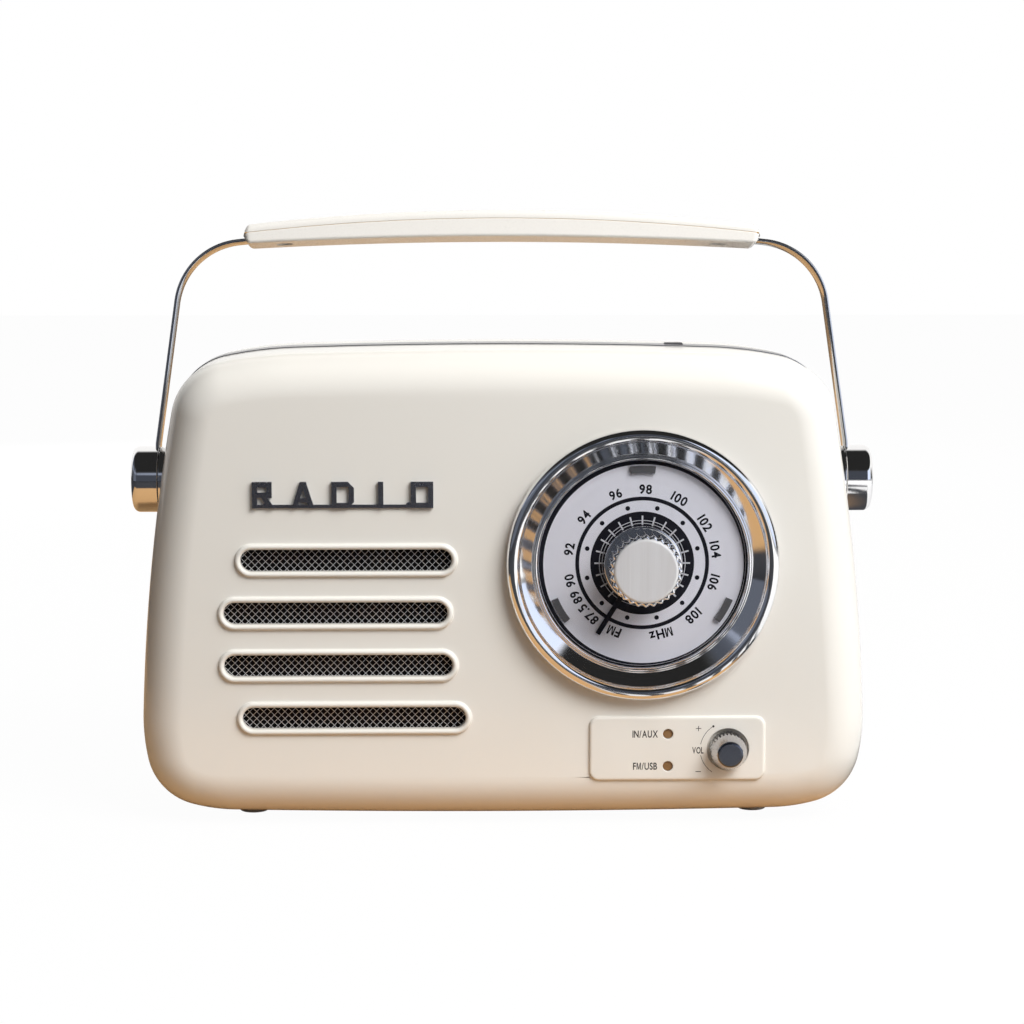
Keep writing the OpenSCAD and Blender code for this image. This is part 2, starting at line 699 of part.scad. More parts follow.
// a tube swept along a helix that narrows towards its tip
spring_turns = 3.5;
module helix(r0, r1, pitch, wire) {
    around = 6;
    steps = 14;
    n = spring_turns * steps;
    points = [for (j = [0 : n]) for (i = [0 : around - 1])
        let (a = j * 360 / steps, r = r0 + (r1 - r0) * j / n, b = i * 360 / around)
        [(r + wire * cos(b)) * cos(a), (r + wire * cos(b)) * sin(a), wire + j * pitch / steps + wire * sin(b)]];
    sides = [for (j = [0 : n - 1]) for (i = [0 : around - 1])
        let (a = j * around + i, b = j * around + (i + 1) % around)
        each [[a, b, b + around], [a, b + around, a + around]]];
    polyhedron(points, concat(sides,
        [[for (i = [around - 1 : -1 : 0]) i]], [[for (i = [0 : around - 1]) n * around + i]]), convexity = 6);
}

cell_z = [for (k = [0, 1]) bay_z[0] + (bay_z[1] - bay_z[0]) * (0.25 + 0.5 * k)];
cell_y = (bay_y[0] + inner_back_y) / 2;

module battery_springs() {
    color("silver") place() {
        translate([-bay_x + 0.8, cell_y, cell_z[0]]) rotate([0, 90, 0]) helix(8, 4.5, 2.2, 0.45);
        translate([bay_x - 0.8, cell_y, cell_z[1]]) rotate([0, -90, 0]) helix(8, 4.5, 2.2, 0.45);
    }
}

module battery_contacts() {
    color("silver") place() {
        for (z = cell_z) both_sides() box([-bay_x, -bay_x + 0.8], [cell_y - 10, cell_y + 10], [z - 10, z + 10]);
    }
}

module battery_door() {
    color("antiquewhite") place() difference() {
        union() {
            box([-door_x, door_x], [cabinet_d - 2, cabinet_d], [hinge_z, door_z[1]]);
            rod_x(1.6, -door_x, door_x, hinge_y, hinge_z);
            rod_x(1.2, -door_x - 3, door_x + 3, hinge_y, hinge_z);
        }
        rod_y(6, cabinet_d - 0.9, cabinet_d + 1, 0, door_z[1]);
        for (i = [0 : 4]) box([-12, 12], [cabinet_d - 0.5, cabinet_d + 1], [60 + i * 1.8, 60.8 + i * 1.8]);
    }
}

// ---------------------------------------------------------------- handle
boss_face_x = 130.3;
eye_x = [130.5, 131.8];
cap_bore_r = 10.8;
pivot_shank_r = 3;
strap_t = eye_x[1] - eye_x[0];

module at_pivot() translate([0, pivot_y, pivot_z]) children();

// handle pieces are drawn upright round the pivot line, then leaned back
module leaned() place() at_pivot() rotate([-handle_lean, 0, 0]) children();

module pivot_boss() {
    place() difference() {
        union() {
            rod_x(boss_r, 119, boss_face_x, pivot_y, pivot_z);
            rod_x(boss_r + 0.9, 119, 120.4, pivot_y, pivot_z);
        }
        rod_x(pivot_shank_r + slip_gap, 112, boss_face_x + 1, pivot_y, pivot_z);
    }
}

module pivot_screw() {
    place() {
        rod_x(pivot_shank_r, 116, 132, pivot_y, pivot_z);
        rod_x(5.5, 132, 134, pivot_y, pivot_z);
        rod_x(4.6, 115, 119, pivot_y, pivot_z);
    }
}

module pivot_cap() {
    round_r = 1.6;
    edge = [for (a = [0 : 15 : 90]) [cap_r - round_r + round_r * cos(a), cap_x - 0.5 - round_r + round_r * sin(a)]];
    leaned() difference() {
        rotate([0, 90, 0]) rotate_extrude() polygon(concat(
            [[cap_bore_r, eye_x[0]], [cap_r, eye_x[0]]], edge,
            [[cap_r * 0.5, cap_x - 0.15], [0, cap_x], [0, 137.6], [cap_bore_r, 137.6]]));
        translate([eye_x[0] - 1, -strap_w / 2 - 0.05, 0]) cube([strap_t + 1.1, strap_w + 0.1, cap_r + 1]);
    }
}

// The strap's centre line in x and height above the pivot: up from the eye, a slight lean
// inwards, then a wide bend into the grip. Each step is [arc radius or straight length, turn].
strap_lean = 7.4;
grip_slope = 84;
bend_r = 26.35;
lean_r = 20;
function turn_point(p, a0, a1, r) = p + r * [cos(a1) - cos(a0), sin(a1) - sin(a0)];
strap_foot = [(eye_x[0] + eye_x[1]) / 2, 12];
strap_knee = turn_point(strap_foot, 0, strap_lean, lean_r);
strap_straight = 53.6;
strap_shoulder = strap_knee + strap_straight * [-sin(strap_lean), cos(strap_lean)];
strap_entry = turn_point(strap_shoulder, strap_lean, grip_slope, bend_r);
strap_end = strap_entry + 22 * [-sin(grip_slope), cos(grip_slope)];
// offset of side s (+1 outside, -1 inside) at direction a
function beside(p, a, d) = p + d * [cos(a), sin(a)];
function strap_side(d) = concat(
    [beside([strap_foot[0], 0], 0, d), beside(strap_foot, 0, d)],
    [beside(strap_knee, strap_lean, d)],
    [for (i = [0 : 12]) let (a = strap_lean + (grip_slope - strap_lean) * i / 12)
        beside(turn_point(strap_shoulder, strap_lean, a, bend_r), a, d)],
    [beside(strap_end, grip_slope, d)]);
function reversed(list) = [for (i = [len(list) - 1 : -1 : 0]) list[i]];
module strap_shape(t) polygon(concat(strap_side(t / 2), reversed(strap_side(-t / 2))));

module handle_strap() {
    leaned() difference() {
        union() {
            slab(-strap_w / 2, strap_w / 2) strap_shape(strap_t);
            rod_x(cap_bore_r - slip_gap, eye_x[0], eye_x[1]);
        }
        rod_x(pivot_shank_r + run_gap, eye_x[0] - 1, eye_x[1] + 1);
        translate([grip_screw_x, 0, 80]) cylinder(r = 1.6, h = 30);
    }
}

// the grip's side view: crowned top, seam below it, and a flatter crowned underside
grip_screw_x = 83;
grip_screw_head = 91.4;     // heights of the screw head's upper face and of the shank's end
grip_screw_end = 96.6;
top_crown_r = 860;
under_crown_r = 1780;
grip_top_s = 101.9;
under_s = 91.7;
seam_s = grip_top_s - 3.4;
GRIP_X = [for (i = [-14 : 14]) i * (grip_l / 2) / 14];
function crown(x, top, r) = [x, top - (r - sqrt(r * r - x * x))];
function crown_line(top, r) = [for (x = GRIP_X) crown(x, top, r)];
end_slope = 1.4;          // the grip's ends lean in towards the top

module grip_top() {
    color("antiquewhite") leaned() difference() {
        slab(-grip_d / 2, grip_d / 2) polygon(concat(
            crown_line(seam_s, top_crown_r), reversed([for (p = crown_line(grip_top_s, top_crown_r))
                [p[0] * (1 - end_slope / (grip_l / 2)), p[1]]])));
        both_sides() translate([grip_screw_x, 0, 80]) cylinder(r = 1.25, h = grip_screw_end + 0.2 - 80);
    }
}

module grip_base() {
    color("antiquewhite") leaned() difference() {
        slab(-grip_d / 2, grip_d / 2) polygon(concat(
            [for (p = crown_line(under_s, under_crown_r)) [p[0] * (1 - end_slope / (grip_l / 2)), p[1]]],
            reversed(crown_line(seam_s, top_crown_r))));
        both_sides() {
            slab(-strap_w / 2 - 0.05, strap_w / 2 + 0.05) strap_shape(strap_t + 0.1);
            translate([grip_screw_x, 0, 80]) cylinder(r = 3.2, h = grip_screw_head - 80);
            translate([grip_screw_x, 0, 80]) cylinder(r = 1.5, h = 30);
        }
    }
}

module grip_screws() {
    color("silver") leaned() both_sides() translate([grip_screw_x, 0, 0]) {
        translate([0, 0, grip_screw_head - 1.1]) cylinder(r = 2.9, h = 1.1);
        translate([0, 0, grip_screw_head - eps]) cylinder(r = 1.2, h = grip_screw_end - grip_screw_head);
    }
}

module pivot_boss_left() color("silver") mirror([1, 0, 0]) pivot_boss();
module pivot_boss_right() color("silver") pivot_boss();
module pivot_screw_left() color("gray") mirror([1, 0, 0]) pivot_screw();
module pivot_screw_right() color("gray") pivot_screw();
module pivot_cap_left() color("silver") mirror([1, 0, 0]) pivot_cap();
module pivot_cap_right() color("silver") pivot_cap();
module handle_strap_left() color("silver") mirror([1, 0, 0]) handle_strap();
module handle_strap_right() color("silver") handle_strap();

// ---------------------------------------------------------------- aerial
aerial_x = -99;
aerial_r = 3;
middle_r = 2.5;
tip_r = 2;
tube_wall = 0.45;
socket_r = 7.5;
ear_r = 3;
eye_w = 5;
swivel_y = cabinet_d + 1.1;
outer_end_x = aerial_x + aerial_l - 6;

module aerial_socket() {
    color("dimgray") place() difference() {
        union() {
            rod_y(socket_r, inner_back_y - 4, cabinet_d + 0.8, aerial_x, aerial_z);
            rod_y(socket_r + 1.1, inner_back_y - 4, inner_back_y - 1.7, aerial_x, aerial_z);
        }
        rod_y(3 + run_gap, inner_back_y - 5, cabinet_d + 2, aerial_x, aerial_z);
    }
}

module aerial_swivel() {
    color("silver") place() translate([aerial_x, 0, aerial_z]) {
        rod_y(3, inner_back_y - 5.5, swivel_y + eps);
        rod_y(5, inner_back_y - 7.5, inner_back_y - 4.4);
        rod_y(6.4, swivel_y, swivel_y + 0.7);
        // two ears with the tilt pin between them
        for (s = [-1, 1]) {
            z0 = s > 0 ? eye_w / 2 + 0.2 : -eye_w / 2 - 2.2;
            translate([0, aerial_axis_y, z0]) cylinder(r = ear_r, h = 2);
            box([-ear_r, ear_r], [swivel_y + 0.7 - eps, aerial_axis_y], [z0, z0 + 2]);
        }
        translate([0, aerial_axis_y, -eye_w / 2 - 1]) cylinder(r = 1.4, h = eye_w + 2);
    }
}

module aerial_outer_tube() {
    color("silver") place() translate([0, aerial_axis_y, aerial_z]) difference() {
        union() {
            translate([aerial_x, 0, -eye_w / 2]) cylinder(r = 2.8, h = eye_w);
            rod_x(2.4, aerial_x + 1.6, aerial_x + 8);
            rod_x(aerial_r, aerial_x + 7, outer_end_x);
        }
        translate([aerial_x, 0, -5]) cylinder(r = 1.4 + run_gap, h = 10);
        rod_x(middle_r + run_gap, aerial_x + 9, outer_end_x + 1);
    }
}

module aerial_middle_tube() {
    color("silver") place() translate([0, aerial_axis_y, aerial_z]) difference() {
        rod_x(middle_r, aerial_x + 9.5, outer_end_x + 1);
        rod_x(tip_r + run_gap, aerial_x + 11, outer_end_x + 2);
    }
}

module aerial_tip() {
    color("silver") place() translate([0, aerial_axis_y, aerial_z]) {
        rod_x(tip_r, aerial_x + 11.5, outer_end_x + 1.6);
        rod_x(aerial_r - 0.2, outer_end_x + 1.5, outer_end_x + 5.6);
    }
}

front_shell();
trim_band();
rear_shell();
rubber_feet();
case_screws();
speaker_mesh();
speaker_cloth();
speaker_gasket();
speaker_basket();
speaker_surround();
speaker_cone();
speaker_magnet();
speaker_screws();
front_badge();
dial_bezel();
dial_lens();
dial_plate();
dial_housing();
tuning_control();
tuning_shaft();
dial_pointer();
tuning_knob();
tuning_knob_cap();
volume_control();
volume_shaft();
volume_knob();
volume_knob_cap();
led_aux();
led_radio();
control_board();
board_screws();
main_board();
aux_jack();
usb_socket();
power_inlet();
mode_button();
mode_switch();
battery_box();
battery_springs();
battery_contacts();
battery_door();
pivot_boss_left();
pivot_boss_right();
pivot_screw_left();
pivot_screw_right();
pivot_cap_left();
pivot_cap_right();
handle_strap_left();
handle_strap_right();
grip_base();
grip_top();
grip_screws();
aerial_rests();
aerial_socket();
aerial_swivel();
aerial_outer_tube();
aerial_middle_tube();
aerial_tip();
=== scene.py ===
import json
import math

import bmesh
import bpy
import numpy as np
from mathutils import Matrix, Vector
from mathutils.geometry import tessellate_polygon


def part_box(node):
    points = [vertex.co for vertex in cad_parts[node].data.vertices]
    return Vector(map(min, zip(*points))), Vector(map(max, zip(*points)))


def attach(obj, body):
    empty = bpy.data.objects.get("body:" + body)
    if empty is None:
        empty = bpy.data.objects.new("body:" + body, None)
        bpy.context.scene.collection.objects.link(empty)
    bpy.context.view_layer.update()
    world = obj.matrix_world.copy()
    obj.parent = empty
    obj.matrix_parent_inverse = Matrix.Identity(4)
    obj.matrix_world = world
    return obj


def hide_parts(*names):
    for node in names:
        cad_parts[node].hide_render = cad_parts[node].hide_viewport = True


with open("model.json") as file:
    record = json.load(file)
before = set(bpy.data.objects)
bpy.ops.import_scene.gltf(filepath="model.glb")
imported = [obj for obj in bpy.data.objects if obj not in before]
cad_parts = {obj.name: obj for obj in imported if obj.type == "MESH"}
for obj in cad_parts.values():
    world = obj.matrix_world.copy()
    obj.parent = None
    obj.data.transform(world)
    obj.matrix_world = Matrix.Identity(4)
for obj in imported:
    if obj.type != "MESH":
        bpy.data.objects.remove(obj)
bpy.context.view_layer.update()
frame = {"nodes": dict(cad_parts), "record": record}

MM = 0.001
RADIO_MIDDLE = (0, 0, 0.11)
SAME_PLACE = 2e-6


def box_mm(node):
    low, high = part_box(node)
    return np.array(low) / MM, np.array(high) / MM


def middle(node):
    low, high = box_mm(node)
    return (low + high) / 2


def half_width(node):
    low, high = box_mm(node)
    return (high[0] - low[0]) / 2


def cos_sin(degrees):
    return math.cos(math.radians(degrees)), math.sin(math.radians(degrees))


def linked(name, data):
    """A new object in the scene."""
    thing = bpy.data.objects.new(name, data)
    bpy.context.collection.objects.link(thing)
    return thing


# Shapes are worked out in millimetres with y = 0 on the cabinet's front face and y
# growing towards the back; at_home() moves them there and turns them into metres.
WALL = 2.5
FACE_Y = box_mm("speaker_mesh")[0][1] - WALL
PIVOT = np.array([0.0, middle("pivot_boss_left")[1] - FACE_Y, middle("pivot_boss_left")[2]])
DIAL = middle("dial_plate")
VOLUME = middle("volume_knob_cap")
DIAL_AT, VOLUME_AT = (DIAL[0], 0, DIAL[2]), (VOLUME[0], 0, VOLUME[2])
DIAL_R, BEZEL_R = half_width("dial_plate"), half_width("dial_bezel")
KNOB_FRONT = box_mm("tuning_knob_cap")[0][1] - FACE_Y
VOLUME_FRONT = box_mm("volume_knob_cap")[0][1] - FACE_Y
CABINET_D = box_mm("battery_door")[1][1] - FACE_Y
BAND = (40.0, 52.0)
# the sides swell out by SWELL at the seam, and the band stands PROUD of them
SWELL, PROUD = 0.3, 0.4
FRONT_ROUND, REAR_ROUND = 16.0, 14.0
SLOTS = [(-96.6, -19.4), (-103.0, -21.0), (-103.0, -19.2), (-96.4, -14.4)]
SLOT_TOP, SLOT_PITCH, SLOT_R = 100.325, 19.55, 4.0
RIM_W, RIM_H = 2.2, 1.4
PANEL = (31.3, 96.2, 18.0, 41.9)
PANEL_H = 1.2
LAMP_X, LAMP_Z, LAMP_R = 60.3, (35.4, 23.3), 1.75
DIAL_HOLE_R, KNOB_RECESS_R, BUSH_R = 41.4, 7.7, 4.1
# the hole through the volume knob, strap eyes, pivot bosses and aerial socket
BORE_R = 3.05
LEAN = math.radians(8.0)
CASE_SCREWS = ((-110, 144), (110, 144), (-117, 26), (117, 26), (0, 163))

# ---------------- camera
camera = linked("view", bpy.data.cameras.new("view"))
camera.data.sensor_width = 36.0
camera.data.lens = 91.9
camera.location = (-0.016, -0.989, 0.2345)
camera.rotation_euler = (math.radians(90 - 7.0), 0, math.radians(-1.131))
bpy.context.scene.camera = camera


# ---------------- surfaces
class Surface:
    """Collects grids and flat sheets of points into one mesh."""

    def __init__(self):
        self.points = []
        self.faces = []
        self.count = 0

    def add(self, points, faces):
        points = np.asarray(points, float).reshape(-1, 3)
        self.faces += [[i + self.count for i in face] for face in faces]
        self.points.append(points)
        self.count += len(points)
        return self

    def grid(self, points, wrap_rows=False, wrap_columns=False):
        """Quads over a rows x columns array of points, joined end to start where asked."""
        rows, columns = points.shape[:2]
        r = np.arange(rows if wrap_rows else rows - 1)[:, None]
        c = np.arange(columns if wrap_columns else columns - 1)[None, :]
        r1, c1 = (r + 1) % rows, (c + 1) % columns
        quads = np.stack([r * columns + c, r * columns + c1, r1 * columns + c1, r1 * columns + c], -1)
        return self.add(points, quads.reshape(-1, 4).tolist())

    def bar(self, points):
        """A grid closed round its columns, with a flat face over each end."""
        self.grid(points, wrap_columns=True)
        for end in (points[0], points[-1]):
            self.add(end, [list(range(len(end)))])
        return self

    def join(self, other):
        """Takes in another surface's points and faces."""
        return self.add(np.vstack(other.points), other.faces)

    def sheet(self, outer, holes, y, front=True):
        """A flat face across the line outer, less the lines in holes, at depth y."""
        loops = [outer] + holes
        flat = np.vstack(loops)
        corners = [[Vector((p[0], p[1], 0)) for p in loop] for loop in loops]
        triangles = np.array(tessellate_polygon(corners))
        a, b, c = flat[triangles[:, 0]], flat[triangles[:, 1]], flat[triangles[:, 2]]
        area = (b[:, 0] - a[:, 0]) * (c[:, 1] - a[:, 1]) - (b[:, 1] - a[:, 1]) * (c[:, 0] - a[:, 0])
        turn = (area < 0) if front else (area > 0)
        triangles[turn] = triangles[turn][:, ::-1]
        points = np.stack([flat[:, 0], np.full(len(flat), y), flat[:, 1]], -1)
        return self.add(points, triangles.tolist())

    def wall(self, line, profile):
        """Rows of the line moved sideways by each profile step's offset, at its depth."""
        rows = rings_at([line(offset) for offset, _ in profile], [y for _, y in profile])
        return self.grid(rows, wrap_columns=True)


def rings_at(lines, depths, axis=1):
    """Flat lines of points, each set at its own depth along an axis."""
    return np.array([np.insert(line, axis, depth, axis=1) for line, depth in zip(lines, depths)])


def at_home(points):
    points = np.asarray(points, float) * MM
    points[:, 1] += FACE_Y * MM
    return points


def finished(name, mesh, body, paint, slot, stands_for, sharp=38):
    """Shades a mesh smooth away from its sharp edges and gives it its body and finish; slot is not used."""
    mesh.polygons.foreach_set("use_smooth", [True] * len(mesh.polygons))
    mesh.set_sharp_from_angle(angle=math.radians(sharp))
    mesh.materials.clear()
    mesh.materials.append(paint)
    piece = linked(name, mesh)
    normals = piece.modifiers.new("even shading", "WEIGHTED_NORMAL")
    normals.keep_sharp = True
    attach(piece, body)
    if stands_for:
        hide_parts(*stands_for)
    return piece


def solid(name, surface, body, paint, slot, stands_for=None, outward=True, sharp=38, cutters=()):
    """Turns collected surfaces into a finished piece: doubles merged, faces outwards.

    It stands for the CAD nodes named, or for the one of its own name."""
    mesh = merged(name, surface, outward)
    for number, cutter in enumerate(cutters):
        mesh = cut(mesh, merged("%s_cut_%d" % (name, number), cutter, True))
    mesh.name = name
    return finished(name, mesh, body, paint, slot, [name] if stands_for is None else stands_for, sharp)


def merged(name, surface, outward):
    """A mesh in metres with its doubles merged, and turned to face outwards if asked."""
    mesh = bpy.data.meshes.new(name)
    mesh.from_pydata(at_home(np.vstack(surface.points)).tolist(), [], surface.faces)
    work = bmesh.new()
    work.from_mesh(mesh)
    bmesh.ops.remove_doubles(work, verts=work.verts, dist=SAME_PLACE)
    if outward:
        bmesh.ops.recalc_face_normals(work, faces=work.faces)
    work.to_mesh(mesh)
    work.free()
    return mesh


def cut(mesh, cutter_mesh):
    """The mesh less the cutter."""
    whole, cutter = linked("whole", mesh), linked("cutter", cutter_mesh)
    less = whole.modifiers.new("less", "BOOLEAN")
    less.operation, less.solver, less.object = "DIFFERENCE", "EXACT", cutter
    graph = bpy.context.evaluated_depsgraph_get()
    result = bpy.data.meshes.new_from_object(whole.evaluated_get(graph))
    for thing in (whole, cutter):
        bpy.data.objects.remove(thing)
    return result


def softened(node, body, paint, slot, width):
    """A copy of a CAD node with its doubles merged and edges rounded by width."""
    work = bmesh.new()
    work.from_mesh(frame["nodes"][node].data)
    bmesh.ops.remove_doubles(work, verts=work.verts, dist=SAME_PLACE)
    mesh = bpy.data.meshes.new(node)
    work.to_mesh(mesh)
    work.free()
    piece = finished(node, mesh, body, paint, slot, [node], 30)
    bevel = piece.modifiers.new("edges", "BEVEL")
    bevel.width, bevel.segments, bevel.limit_method = width * MM, 3, "ANGLE"
    bevel.angle_limit = math.radians(28)
    bevel.harden_normals = False
    piece.modifiers.move(1, 0)


def eased(profile, steps=4):
    """A profile of (radius, y, ease) whose corners are rounded by quadratic curves.

    Each corner B becomes (1-t)^2 A + 2t(1-t) B + t^2 C, with A and C at distance
    ease from B on its two sides, but never past their middles.
    """
    corners = np.array([p[:2] for p in profile], float)
    line = [corners[0]]
    for i in range(1, len(corners) - 1):
        b = corners[i]
        before, after = corners[i - 1] - b, corners[i + 1] - b
        ease = profile[i][2]
        if ease <= 0:
            line.append(b)
            continue
        lengths = np.linalg.norm(before), np.linalg.norm(after)
        a = b + before / lengths[0] * min(ease, lengths[0] * 0.49)
        c = b + after / lengths[1] * min(ease, lengths[1] * 0.49)
        t = np.linspace(0, 1, steps + 1)[:, None]
        line += list((1 - t) ** 2 * a + 2 * t * (1 - t) * b + t ** 2 * c)
    line.append(corners[-1])
    return np.array(line)


def lathe(profile, centre, axis="y", steps=144, wrap=False, ripple=None):
    """A profile of (radius, height) turned about an axis through centre.

    Point = centre + radius (cos u, sin u) across the axis + height along it;
    ripple(u, radius, height) may change the radius round the turn, and wrap joins
    the profile's end to its start.
    """
    profile = np.asarray(profile, float)
    u = np.linspace(0, 2 * np.pi, steps, endpoint=False)[None, :]
    radius = profile[:, 0][:, None] * np.ones_like(u)
    height = profile[:, 1][:, None] * np.ones_like(u)
    if ripple is not None:
        radius = ripple(u, radius, height)
    a, b = radius * np.cos(u), radius * np.sin(u)
    order = {"x": (height, a, b), "y": (a, height, b), "z": (a, b, height)}[axis]
    return Surface().grid(np.stack(order, -1) + np.asarray(centre, float), wrap, True)


def circle(x, z, r, steps=96):
    angles = np.linspace(0, 2 * np.pi, steps, endpoint=False)
    return lambda offset=0.0: np.stack(
        [x + (r + offset) * np.cos(angles), z + (r + offset) * np.sin(angles)], -1)


def rounded(x0, x1, z0, z1, r, steps=14):
    """A rounded rectangle: at each corner, corner centre + (r + offset)(cos a, sin a)."""
    centres = np.array([[x1 - r, z1 - r], [x0 + r, z1 - r], [x0 + r, z0 + r], [x1 - r, z0 + r]])
    angles = np.radians(np.array([0, 90, 180, 270])[:, None] + np.linspace(0, 90, steps)[None, :])

    def line(offset=0.0):
        ring = np.stack([np.cos(angles), np.sin(angles)], -1) * (r + offset)
        return (centres[:, None, :] + ring).reshape(-1, 2)
    return line


def stadium(x0, x1, z, r, steps=26):
    return rounded(x0, x1, z - r, z + r, r - 1e-4, steps)


# ---------------- cabinet outline
# each arc's end angle and radius, from top centre down the right side
ARCS = [(1.8, 2500.0), (11.8, 150.0), (79.6, 23.1), (88.0, 774.0), (102.0, 72.0), (164.8, 23.0),
        (178.8, 67.0)]
ARC_STEPS = [6, 8, 30, 14, 10, 28, 12, 8]
CABINET_TOP = 176.8


def arc_table():
    """Start angle, end angle, radius, start x and start z of each arc, bottom arc last."""
    rows, a0, x, z = [], 0.0, 0.0, CABINET_TOP
    for a1, r in ARCS:
        rows.append((a0, a1, r, x, z))
        (c0, s0), (c1, s1) = cos_sin(a0), cos_sin(a1)
        x, z, a0 = x + r * (s1 - s0), z + r * (c1 - c0), a1
    rows.append((a0, 180.0, x / cos_sin(a0)[1], x, z))
    return rows


ARC_TABLE = arc_table()


def bottom_z():
    a0, _, r, _, z = ARC_TABLE[-1]
    return z - r * (1 + cos_sin(a0)[0])


def outline(inset):
    """The cabinet's front view moved in by inset.

    On each arc the point is start + R (sin a - sin a0, cos a - cos a0), less
    inset (sin a, cos a), for normals a from top centre round to bottom centre;
    the left half is its mirror.
    """
    halves = []
    for (a0, a1, r, x, z), steps in zip(ARC_TABLE, ARC_STEPS):
        a = np.radians(np.linspace(a0, a1, steps, endpoint=False))
        c0, s0 = cos_sin(a0)
        halves.append(np.stack([x + r * (np.sin(a) - s0) - inset * np.sin(a),
                                z + r * (np.cos(a) - c0) - inset * np.cos(a)], -1))
    right = np.vstack(halves)
    bottom = np.array([[0.0, bottom_z() + inset]])
    left = right[:0:-1] * [-1, 1]
    return np.vstack([right, bottom, left])


def lofted(rings):
    """Rings of the outline, each at its own depth and inset."""
    return rings_at([outline(inset) for _, inset in rings], [y for y, _ in rings])


def quarter(r, steps):
    """Depth r (1 - cos a) and inset r (1 - sin a) for a from 0 to 90 degrees."""
    a = np.linspace(0, np.pi / 2, steps)
    return np.stack([r * (1 - np.cos(a)), r * (1 - np.sin(a))], -1)


# ---------------- finishes
def arithmetic(operation, swapped=False):
    """The method behind one arithmetic sign: it adds a Math node."""
    return lambda self, other: self.maths(operation, other, swapped)


class Value:
    """One socket's value; + - and * on it add Math nodes."""

    def __init__(self, paint, socket):
        self.paint, self.socket = paint, socket

    def maths(self, operation, other=None, swapped=False):
        first, second = (other, self) if swapped else (self, other)
        return self.paint.add("ShaderNodeMath", {"operation": operation}, {0: first, 1: second})

    __add__ = __radd__ = arithmetic("ADD")
    __mul__ = __rmul__ = arithmetic("MULTIPLY")
    __sub__, __rsub__ = arithmetic("SUBTRACT"), arithmetic("SUBTRACT", True)

    def above(self, edge, soft=0.02):
        """0 below edge, 1 above it, with a soft step between."""
        return self.paint.add("ShaderNodeMapRange", {"interpolation_type": "SMOOTHSTEP"}, {
            "Value": self, "From Min": edge - soft, "From Max": edge + soft,
            "To Min": 0.0, "To Max": 1.0})


class Paint:
    """A material under construction. add() makes any node; done() closes with a Principled shader."""

    def __init__(self, name, tree=None):
        if tree is None:
            self.material = bpy.data.materials.new(name)
            self.material.use_nodes = True
            tree = self.material.node_tree
        self.tree = tree
        self.tree.nodes.clear()

    def add(self, kind, settings=(), values=(), output=0):
        node = self.tree.nodes.new(kind)
        for key, setting in dict(settings).items():
            if key == "stops":
                ramp = node.color_ramp
                while len(ramp.elements) < len(setting):
                    ramp.elements.new(1.0)
                for element, (place, colour) in zip(ramp.elements, setting):
                    element.position, element.color = place, colour
            else:
                setattr(node, key, setting)
        for key, value in dict(values).items():
            if isinstance(value, Value):
                self.tree.links.new(value.socket, node.inputs[key])
            elif value is not None:
                node.inputs[key].default_value = value
        return Value(self, node.outputs[output]) if node.outputs else None

    def where(self, scale=(1, 1, 1), place=(0, 0, 0), turn=(0, 0, 0)):
        """Object coordinates in metres, through a Mapping node."""
        spot = self.add("ShaderNodeTexCoord", output=3)
        return self.add("ShaderNodeMapping", {"vector_type": "POINT"}, {
            "Vector": spot, "Scale": scale, "Location": place, "Rotation": turn})

    def noise(self, scale, detail=3.0, rough=0.5, stretch=(1, 1, 1), **place):
        return self.add("ShaderNodeTexNoise", {}, {
            "Vector": self.where(stretch, **place), "Scale": scale, "Detail": detail, "Roughness": rough})

    def mix(self, factor, a, b):
        return self.add("ShaderNodeMix", {"data_type": "RGBA"}, {0: factor, 6: a, 7: b}, 2)

    def blend(self, factor, a, b):
        return self.add("ShaderNodeMixShader", {}, {0: factor, 1: a, 2: b})

    def bump(self, height, strength):
        return self.add("ShaderNodeBump", {}, {
            "Height": height, "Strength": strength, "Distance": 0.0002})

    def shader(self, **sockets):
        names = {name.replace("_", " "): value for name, value in sockets.items()}
        return self.add("ShaderNodeBsdfPrincipled", {}, names)

    def axes(self, vector, count):
        """The first count components of a vector."""
        return [self.add("ShaderNodeSeparateXYZ", {}, {0: vector}, axis) for axis in range(count)]

    def done(self, **sockets):
        return self.close(self.shader(**sockets))

    def close(self, shader):
        self.add("ShaderNodeOutputMaterial", {}, {"Surface": shader})
        return self.material


def colour(r, g, b):
    return (r, g, b, 1.0)


def gloss_moulding(name, base, shade, rough=0.2):
    """Glossy moulding: a faint cloudy tone, fine surface ripple and a clear top gloss."""
    p = Paint(name)
    cloud = p.noise(9.0, 4.0)
    specks = p.noise(2600.0, 2.0)
    tone = p.mix(cloud, base, shade)
    sink = p.noise(55.0, 2.0)
    return p.done(Base_Color=tone, Roughness=rough + 0.08 * specks, Coat_Weight=0.35, Coat_Roughness=0.04,
                  Specular_IOR_Level=0.5, Normal=p.bump(sink * 0.8 + specks * 0.04, 0.05))


def plated(name, base, rough, streak=(1, 1, 1), streak_scale=900.0, depth=0.02, metallic=1.0):
    """Metal: roughness and a faint bump from streaks stretched along the metal's grain."""
    p = Paint(name)
    grain = p.noise(streak_scale, 4.0, 0.6, streak)
    smears = p.noise(40.0, 3.0)
    tone = p.mix(smears, colour(*base), colour(*(c * 0.93 for c in base)))
    return p.done(Base_Color=tone, Metallic=metallic, Roughness=rough + 0.12 * rough * grain + 0.03 * smears,
                  Normal=p.bump(grain, depth))


